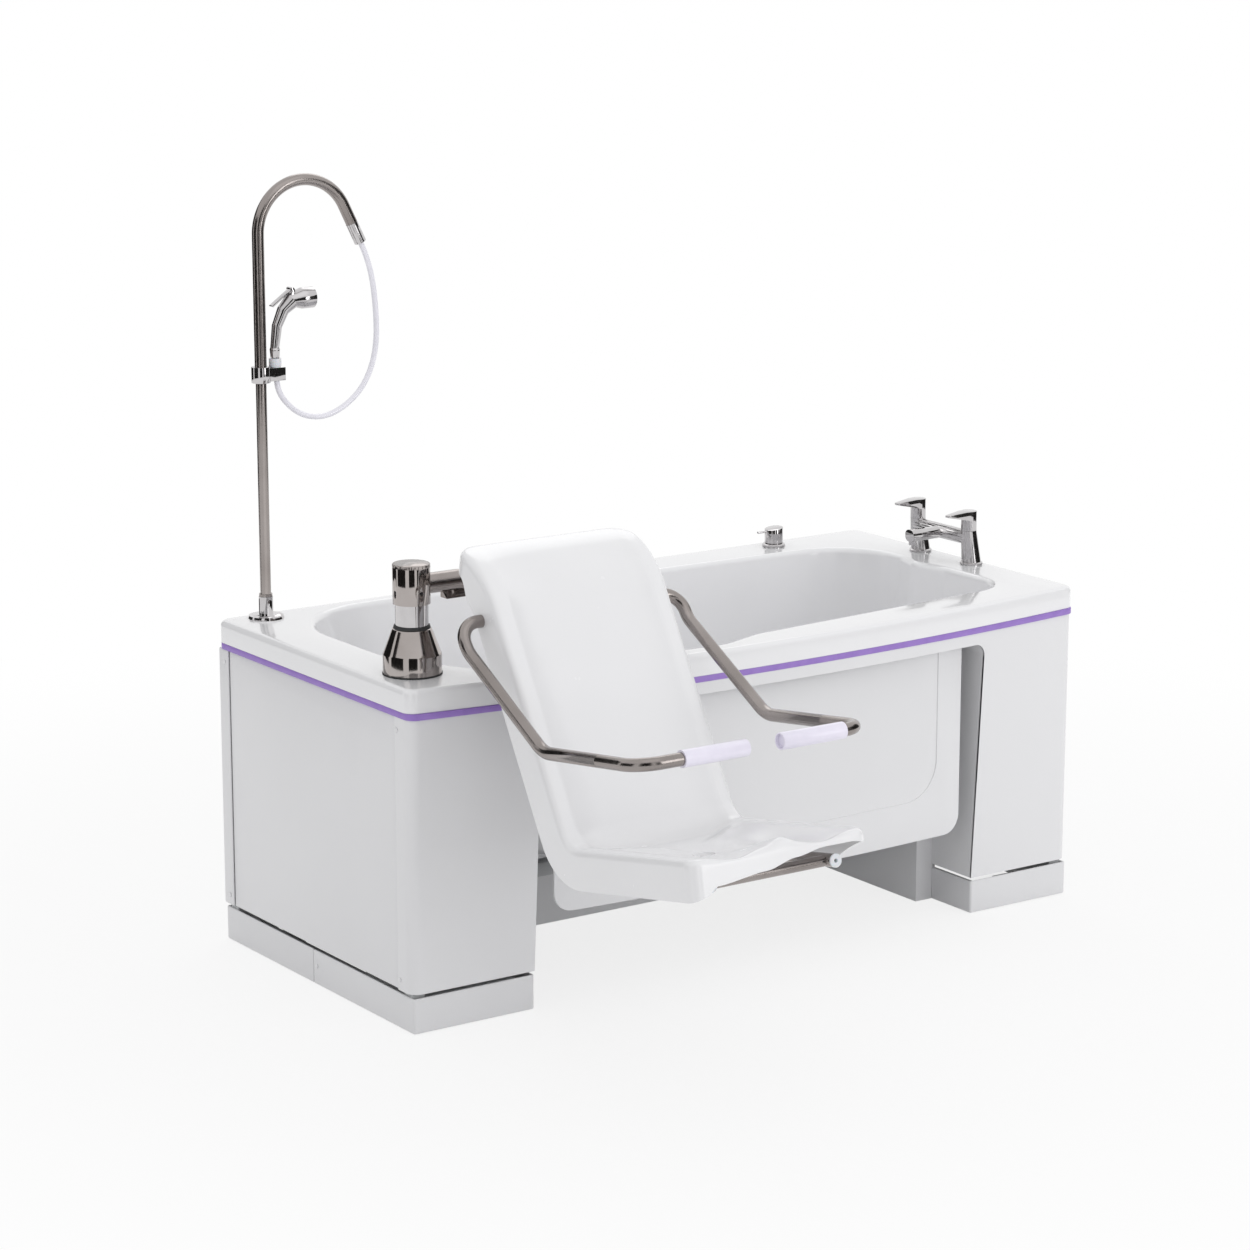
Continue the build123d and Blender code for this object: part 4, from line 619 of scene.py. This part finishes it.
def front_line(z, inset):
    """Plan of the front moulding at a height, from the left seam to the right seam."""
    up = (z - surround_low.z) / (surround_high.z - surround_low.z)
    y = foot_y + (head_y - foot_y) * up - inset
    bow = foot_bow + (head_bow - foot_bow) * up
    x = side_x - inset
    turn = corner_turn - inset
    points = [(-x, seam_y), (-x, (seam_y - y + turn) / 2)]
    for step in range(9):
        angle = math.pi + math.pi / 2 * step / 8
        points.append((-x + turn + turn * math.cos(angle), -y + turn + turn * math.sin(angle)))
    for step in range(1, 64):
        across = -1 + 2 * step / 64
        points.append((across * (x - turn), -y - bow * (1 - across ** 2)))
    points += [(-px, py) for px, py in points[:11][::-1]]
    return points


levels = 24
span = surround_high.z - surround_low.z
outer = []
inner = []
for step in range(levels + 1):
    z = surround_low.z + span * step / levels
    outer.append([(x, y, z) for x, y in front_line(z, 0)])
    inner.append([(x, y, z) for x, y in front_line(z, sheet)])
surround = lay_rings("moulded_front", outer + inner[::-1] + outer[:1], closed=False)
close_up(surround, merge=0.00001, fill=True)


def opening_ring(y, grow):
    """Outline of the knee opening as a ring at one depth, grown by a wall."""
    left, right = opening[0] - grow, opening[1] + grow
    head, turn = opening_head + grow, opening_turn + grow
    ring = [(left, y, 0.0)]
    for step in range(9):
        angle = math.pi - math.pi / 2 * step / 8
        ring.append((
            left + turn + turn * math.cos(angle), y, head - turn + turn * math.sin(angle)
        ))
    for step in range(9):
        angle = math.pi / 2 - math.pi / 2 * step / 8
        ring.append((
            right - turn + turn * math.cos(angle), y, head - turn + turn * math.sin(angle)
        ))
    ring.append((right, y, 0.0))
    return ring


carve(surround, lay_rings(
    "opening_cut", [opening_ring(-0.6, 0), opening_ring(-0.1, 0)], low_cap=True, high_cap=True
))
return_rear = (-0.376, -0.330)
deep_rear = -0.249
deep_head = 0.3
narrow_from = 0.3
return_steps = 12


def front_face(across, z):
    """How far forward the front stands, at a share of its half width and at a height."""
    up = (z - surround_low.z) / span
    bow = (foot_bow + (head_bow - foot_bow) * up) * (1 - across ** 2)
    return foot_y + (head_y - foot_y) * up + bow


def return_strip(name, ring_side, rear, foot, head):
    """One return of the opening: a folded strip from the front face back to its rear edge."""
    x0, x1 = sorted((ring_side, ring_side + (sheet if ring_side > 0 else -sheet)))
    rows = []
    for step in range(25):
        z = foot + (head - foot) * step / 24
        face = front_face(ring_side / side_x, z)
        rows.append([(x0, -face + 0.002, z), (x1, -face + 0.002, z), (x1, rear, z), (x0, rear, z)])
    return lay_rings(name, rows, low_cap=True, high_cap=True)


returns = [
    return_strip("left_deep_return", opening[0], deep_rear, surround_low.z, deep_head),
    return_strip("right_deep_return", opening[1], deep_rear, surround_low.z, deep_head),
]
edge_line = [
    (opening[0], deep_head + (opening_head - opening_turn - deep_head) * k / return_steps)
    for k in range(return_steps)
]
edge_line += [(x, z) for x, y, z in opening_ring(0, 0)[1:-1]]
edge_line += [(opening[1], z) for x, z in edge_line[:return_steps][::-1]]
reveal_rows = []
for step in range(5):
    row = []
    for x, z in edge_line:
        face = front_face(x / (side_x - corner_turn), z)
        right_share = min(1.0, max(0.0, (x - narrow_from) / (opening[1] - narrow_from)))
        rear = return_rear[0] + (return_rear[1] - return_rear[0]) * right_share
        row.append((x, -face + 0.0005 + (rear + face) * step / 4, z))
    reveal_rows.append(row)
reveal = lay_rings("opening_reveal", reveal_rows, closed=False)
head_face = max(reveal.data.polygons, key=lambda face: face.center.z)
if head_face.normal.z > 0:
    reveal.data.flip_normals()
work(reveal, "SOLIDIFY", thickness=sheet - 0.0005, offset=-1)
returns.append(reveal)
join_pieces(surround, *returns)
smooth(surround, 30)
fit(surround, "bath", ["front_surround"], white_panel)


# Seat shell
# Satin white moulding of seat and back in one, dished for the body, with deep side
# skirts, a rolled top, and two leg channels that make the front edge wavy.
white_seat, place, join = finish(
    "white_seat", Roughness=0.24, Coat_Weight=0.35, Coat_Roughness=0.12,
)
cloud = noise(place, 6.0, 2.0)
join(
    Base_Color=blend(cloud, (0.79, 0.79, 0.805), (0.825, 0.825, 0.84)),
    Roughness=0.2 + 0.1 * noise(place, 25.0),
    Normal=relief(noise(place, 1200.0, 2.0), 0.00003, 0.3),
)

seat_low, seat_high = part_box("seat_shell")
seat_middle = (seat_low.x + seat_high.x) / 2
half_seat = (seat_high.x - seat_low.x) / 2
seat_line = [(-1.160, 0.5283), (-0.7616, 0.4546), (-0.4732, 0.9483), (-0.362, 0.967)]
seat_turns = [0.05, 0.177]
skirt_deep = 0.077
seat_edge = 0.014
scoop = 0.018
front_turn = 0.026
top_turn = 0.05
top_skirt = 0.045
front_skirt = [
    (0.0, 0.077), (0.03, 0.070), (0.055, 0.054), (0.165, 0.044), (0.235, 0.030),
    (0.30, 0.021), (0.36, 0.021), (0.404, 0.027),
]
right_skirt_run = 0.16
channel_place = 0.098
drain_spot = (-0.549, -0.945)
drain_radius = 0.021


def seat_track():
    """The side view of the seat as runs and arcs: start, direction, bend and length."""
    track = []
    spot = Vector(seat_line[0])
    for i, turn in enumerate(seat_turns):
        here = Vector(seat_line[i + 1])
        before = (here - Vector(seat_line[i])).normalized()
        after = (Vector(seat_line[i + 2]) - here).normalized()
        half = math.acos(before.dot(after)) / 2
        start = here - before * turn * math.tan(half)
        track.append((spot, before, 0.0, (start - spot).length))
        track.append((start, before, math.copysign(1 / turn, before.cross(after)), 2 * half * turn))
        spot = here + after * turn * math.tan(half)
    end = Vector(seat_line[-1])
    track.append((spot, (end - spot).normalized(), 0.0, (end - spot).length))
    return track


track = seat_track()
seat_run = sum(length for spot, way, bend, length in track)


def ease_in(share):
    """A smooth step from 0 to 1."""
    share = min(1.0, max(0.0, share))
    return share * share * (3 - 2 * share)


def on_seat(x, along, depth):
    """A place on the seat: across it, along its side view and behind its surface."""
    for spot, way, bend, length in track:
        if along <= length or spot is track[-1][0]:
            break
        along -= length
    if bend:
        left = Vector((-way.y, way.x))
        turned = Matrix.Rotation(bend * along, 2)
        spot = spot + left / bend - (turned @ left) / bend
        way = turned @ way
    else:
        spot = spot + way * along
    spot = spot + Vector((way.y, -way.x)) * depth
    return (seat_middle + x, spot.x, spot.y)


def seat_loop(inset):
    """A rounded outline of the seat, unrolled flat and drawn in by an inset."""
    loop = []
    half = half_seat - inset
    front_r = max(0.0, front_turn - inset)
    top_r = max(0.0, top_turn - inset)
    low, high = inset, seat_run - inset
    low, high = min(low, high), max(low, high)
    corners = (
        (half - front_r, low + front_r, front_r, -90), (half - top_r, high - top_r, top_r, 0),
        (-half + top_r, high - top_r, top_r, 90), (-half + front_r, low + front_r, front_r, 180),
    )
    for i, (x, along, turn, start) in enumerate(corners):
        for step in range(9):
            angle = math.radians(start + 90 * step / 8)
            loop.append((x + turn * math.cos(angle), along + turn * math.sin(angle)))
        ahead_x, ahead_along, ahead_turn, ahead = corners[(i + 1) % 4]
        angle = math.radians(ahead)
        goal = (ahead_x + ahead_turn * math.cos(angle), ahead_along + ahead_turn * math.sin(angle))
        here = loop[-1]
        steps = 130 if i % 2 == 0 else 48
        for step in range(1, steps):
            share = step / steps
            loop.append((
                here[0] + (goal[0] - here[0]) * share, here[1] + (goal[1] - here[1]) * share
            ))
    return loop


def skirt_depth(x, along):
    """Depth of the skirt at a place on the outline."""
    across = x + half_seat
    for (x0, d0), (x1, d1) in zip(front_skirt, front_skirt[1:]):
        if across <= x1 + 0.0001:
            break
    front = d0 + (d1 - d0) * ease_in((across - x0) / (x1 - x0))
    if along < front_turn and abs(x) < half_seat - 0.0005:
        deep = front
    else:
        deep = skirt_deep
    if x > 0:
        deep = front + (skirt_deep - front) * ease_in(along / right_skirt_run)
    top = ease_in((along - (seat_run - 0.11)) / 0.07)
    return deep + (top_skirt - deep) * top


def hollow(x, along, centre_x, centre_along, wide, deep):
    """A round hollow, 1 at its middle."""
    return math.exp(-((x - centre_x) / wide) ** 2 - ((along - centre_along) / deep) ** 2)


def seat_depth(x, along):
    """How far the surface lies behind the plain side view."""
    inward = max(0.0, 1 - (x / (half_seat - 0.036)) ** 2)
    body = scoop * inward * (2 - inward) * ease_in(along / 0.16) * ease_in((seat_run - along) / 0.2)
    channels = 0.015 * hollow(abs(x), along, channel_place, 0.0, 0.045, 0.14)
    pommel = 0.011 * hollow(x, along, 0.012, 0.0, 0.022, 0.09)
    dish = 0.012 * hollow(x, along, -0.016, 0.22, 0.06, 0.07)
    hips = 0.008 * hollow(abs(x), along, 0.105, 0.2, 0.035, 0.06)
    ridge_line = (along - 0.25 - 0.7 * abs(x)) / 0.018
    ridge = 0.007 * math.exp(-ridge_line * ridge_line) * ease_in((abs(x) - 0.02) / 0.05)
    ridge *= ease_in((0.165 - abs(x)) / 0.05)
    return body + channels - pommel + dish + hips - ridge


seat_rings = []
outline = seat_loop(0.0)
for step in range(9):
    ring = []
    for x, along in outline:
        foot = skirt_depth(x, along)
        ring.append(on_seat(x, along, foot + (seat_edge - foot) * step / 8))
    seat_rings.append(ring)
for step in range(1, 7):
    angle = math.pi / 2 * step / 6
    inset = seat_edge * (1 - math.cos(angle))
    sunk = seat_edge * (1 - math.sin(angle))
    seat_rings.append([
        on_seat(x, along, sunk + seat_depth(x, along) * step / 6) for x, along in seat_loop(inset)
    ])
inner_steps = 26
for step in range(1, inner_steps + 1):
    inset = seat_edge + (half_seat - seat_edge) * step / inner_steps
    seat_rings.append([on_seat(x, along, seat_depth(x, along)) for x, along in seat_loop(inset)])
seat = lay_rings("moulded_seat", seat_rings)
close_up(seat, merge=0.0002)
pan_face = min(
    seat.data.polygons, key=lambda face: (face.center - Vector((seat_middle, -1.0, 0.5))).length
)
if pan_face.normal.z < 0:
    seat.data.flip_normals()
work(seat, "SOLIDIFY", thickness=0.005, offset=-1)
bpy.ops.mesh.primitive_cylinder_add(
    vertices=48, radius=drain_radius, depth=0.2, location=(*drain_spot, 0.48)
)
carve(seat, bpy.context.object)
smooth(seat, 50)
fit(seat, "seat", ["seat_shell"], white_seat)


# Lift column
# The spun bell stands on its gasket round the lift tube, under the turned collar of the
# support arm. Both are plated, and darker than the taps.
def spun(name, x, y, profile, segments=96):
    """A turned piece: its profile of (radius, height) points swung round a vertical axis."""
    rings = []
    for radius, z in profile:
        rings.append([
            (x + radius * math.cos(2 * math.pi * i / segments),
             y + radius * math.sin(2 * math.pi * i / segments), z)
            for i in range(segments)
        ])
    piece = lay_rings(name, rings + rings[:1])
    close_up(piece, merge=0.00001)
    return piece


bell_low, bell_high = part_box("column_bell")
column_spot = ((bell_low.x + bell_high.x) / 2, (bell_low.y + bell_high.y) / 2)
bell_wide = (bell_high.x - bell_low.x) / 2
bell_mouth = 0.0385
bell_neck = 0.034
bell_wall = 0.0025
bell = spun("spun_bell", *column_spot, [
    (bell_wide - bell_wall, bell_low.z), (bell_wide - 0.0004, bell_low.z),
    (bell_wide, bell_low.z + 0.0006), (bell_wide, bell_low.z + 0.037),
    (bell_wide - 0.0003, bell_low.z + 0.0385), (bell_wide - 0.0012, bell_low.z + 0.040),
    (bell_mouth + 0.0016, bell_high.z - 0.0028), (bell_mouth + 0.0006, bell_high.z - 0.0010),
    (bell_mouth - 0.0012, bell_high.z), (bell_neck, bell_high.z),
    (bell_neck, bell_high.z - bell_wall),
    (bell_mouth - 0.003, bell_high.z - bell_wall), (bell_wide - bell_wall, bell_low.z + 0.036),
])
smooth(bell, 30)
dark_plate, place, join = finish("dark_plate", Metallic=1.0, Roughness=0.05)
tint = noise(place, 12.0, 3.0)
join(
    Base_Color=blend(tint, (0.33, 0.295, 0.28), (0.50, 0.465, 0.45)),
    Roughness=0.04 + 0.06 * noise(place, 60.0, 3.0),
)
fit(bell, "bath", ["column_bell"], dark_plate)
dress(["arm_collar"], dark_plate, 0.0008)


# Studio
# A pale floor that keeps the shadow, a white surround and large soft lamps.
floor_size = 24.0
shadow_near = 1.2
shadow_far = 3.0
paper_glow = 0.8
room_light = 0.86
bpy.ops.mesh.primitive_grid_add(x_subdivisions=24, y_subdivisions=24, size=floor_size)
studio_floor = bpy.context.object
studio_floor.name = "studio_floor"
paper = bpy.data.materials.new("studio_paper")
paper.use_nodes = True
tree = paper.node_tree
tree.nodes.clear()
base = Value(tree)
rays = tree.nodes.new("ShaderNodeLightPath")
camera_ray = Value(tree, rays.outputs["Is Camera Ray"])
glossy_ray = Value(tree, rays.outputs["Is Glossy Ray"])
seen = base.maths("MAXIMUM", camera_ray, glossy_ray)
place = base.node("TexCoord", {}, {}, "Object")
reach = place.node("VectorMath", {"operation": "LENGTH"}, {0: place}, "Value")
fade = reach.node("MapRange", {"interpolation_type": "SMOOTHSTEP"},
                  {"Value": reach, "From Min": shadow_near, "From Max": shadow_far}, "Result")
matt = base.node("BsdfDiffuse", {}, {"Color": (0.86, 0.86, 0.86, 1)})
white = base.node("Emission", {}, {"Color": (1, 1, 1, 1), "Strength": 1.0})
glow = seen * (paper_glow + (1 - paper_glow) * fade)
shown = base.node("MixShader", {}, {"Fac": glow, 1: matt, 2: white})
end = tree.nodes.new("ShaderNodeOutputMaterial")
tree.links.new(shown.socket, end.inputs["Surface"])
studio_floor.data.materials.append(paper)

world = bpy.data.worlds.new("studio_world")
bpy.context.scene.world = world
world.use_nodes = True
tree = world.node_tree
tree.nodes.clear()
rays = tree.nodes.new("ShaderNodeLightPath")
camera_ray = Value(tree, rays.outputs["Is Camera Ray"])
glossy_ray = Value(tree, rays.outputs["Is Glossy Ray"])
through_ray = Value(tree, rays.outputs["Is Transmission Ray"])
base = Value(tree)
seen = base.maths("MAXIMUM", base.maths("MAXIMUM", camera_ray, glossy_ray), through_ray)
strength = room_light + (1 - room_light) * seen
backdrop = base.node("Background", {}, {"Color": (1.0, 1.0, 1.0, 1), "Strength": strength})
end = tree.nodes.new("ShaderNodeOutputWorld")
tree.links.new(backdrop.socket, end.inputs["Surface"])

for name, spot, size, power in (
    ("key_lamp", (-0.6, -2.0, 4.4), 3.0, 6.0),
    ("front_lamp", (2.6, -5.6, 2.0), 3.0, 62.0),
    ("rear_lamp", (1.6, 2.6, 3.8), 2.4, 18.0),
):
    bpy.ops.object.light_add(type="AREA", location=spot)
    lamp = bpy.context.object
    lamp.name = name
    lamp.data.size = size
    lamp.data.energy = power
    lamp.rotation_euler = (Vector((0, 0, 0.5)) - Vector(spot)).to_track_quat("-Z", "Y").to_euler()

# Tall black cloths stand round the set for the bright metal. They show in every glossy
# surface, but the camera does not see them, and they shade nothing.
cloth, place, join = finish("black_flag", Roughness=1.0)
join(Base_Color=blend(noise(place, 0.8), (0.006, 0.006, 0.006), (0.02, 0.018, 0.017)))
flag_reach = 5.2
for i, (bearing, wide, low, high) in enumerate((
    (-22, 52, -0.2, 3.6), (122, 46, -0.2, 3.6), (180, 46, -0.2, 3.2),
    (236, 30, -0.2, 3.8), (272, 16, -0.2, 3.2), (306, 26, -0.2, 3.4),
)):
    ring = []
    for step in range(7):
        angle = math.radians(bearing + wide * (step / 6 - 0.5))
        ring.append((flag_reach * math.cos(angle), flag_reach * math.sin(angle)))
    flag = lay_rings(
        f"flag_{i}", [[(x, y, low) for x, y in ring], [(x, y, high) for x, y in ring]], closed=False
    )
    flag.visible_camera = False
    flag.visible_shadow = False
    flag.visible_diffuse = False
    flag.data.materials.append(cloth)
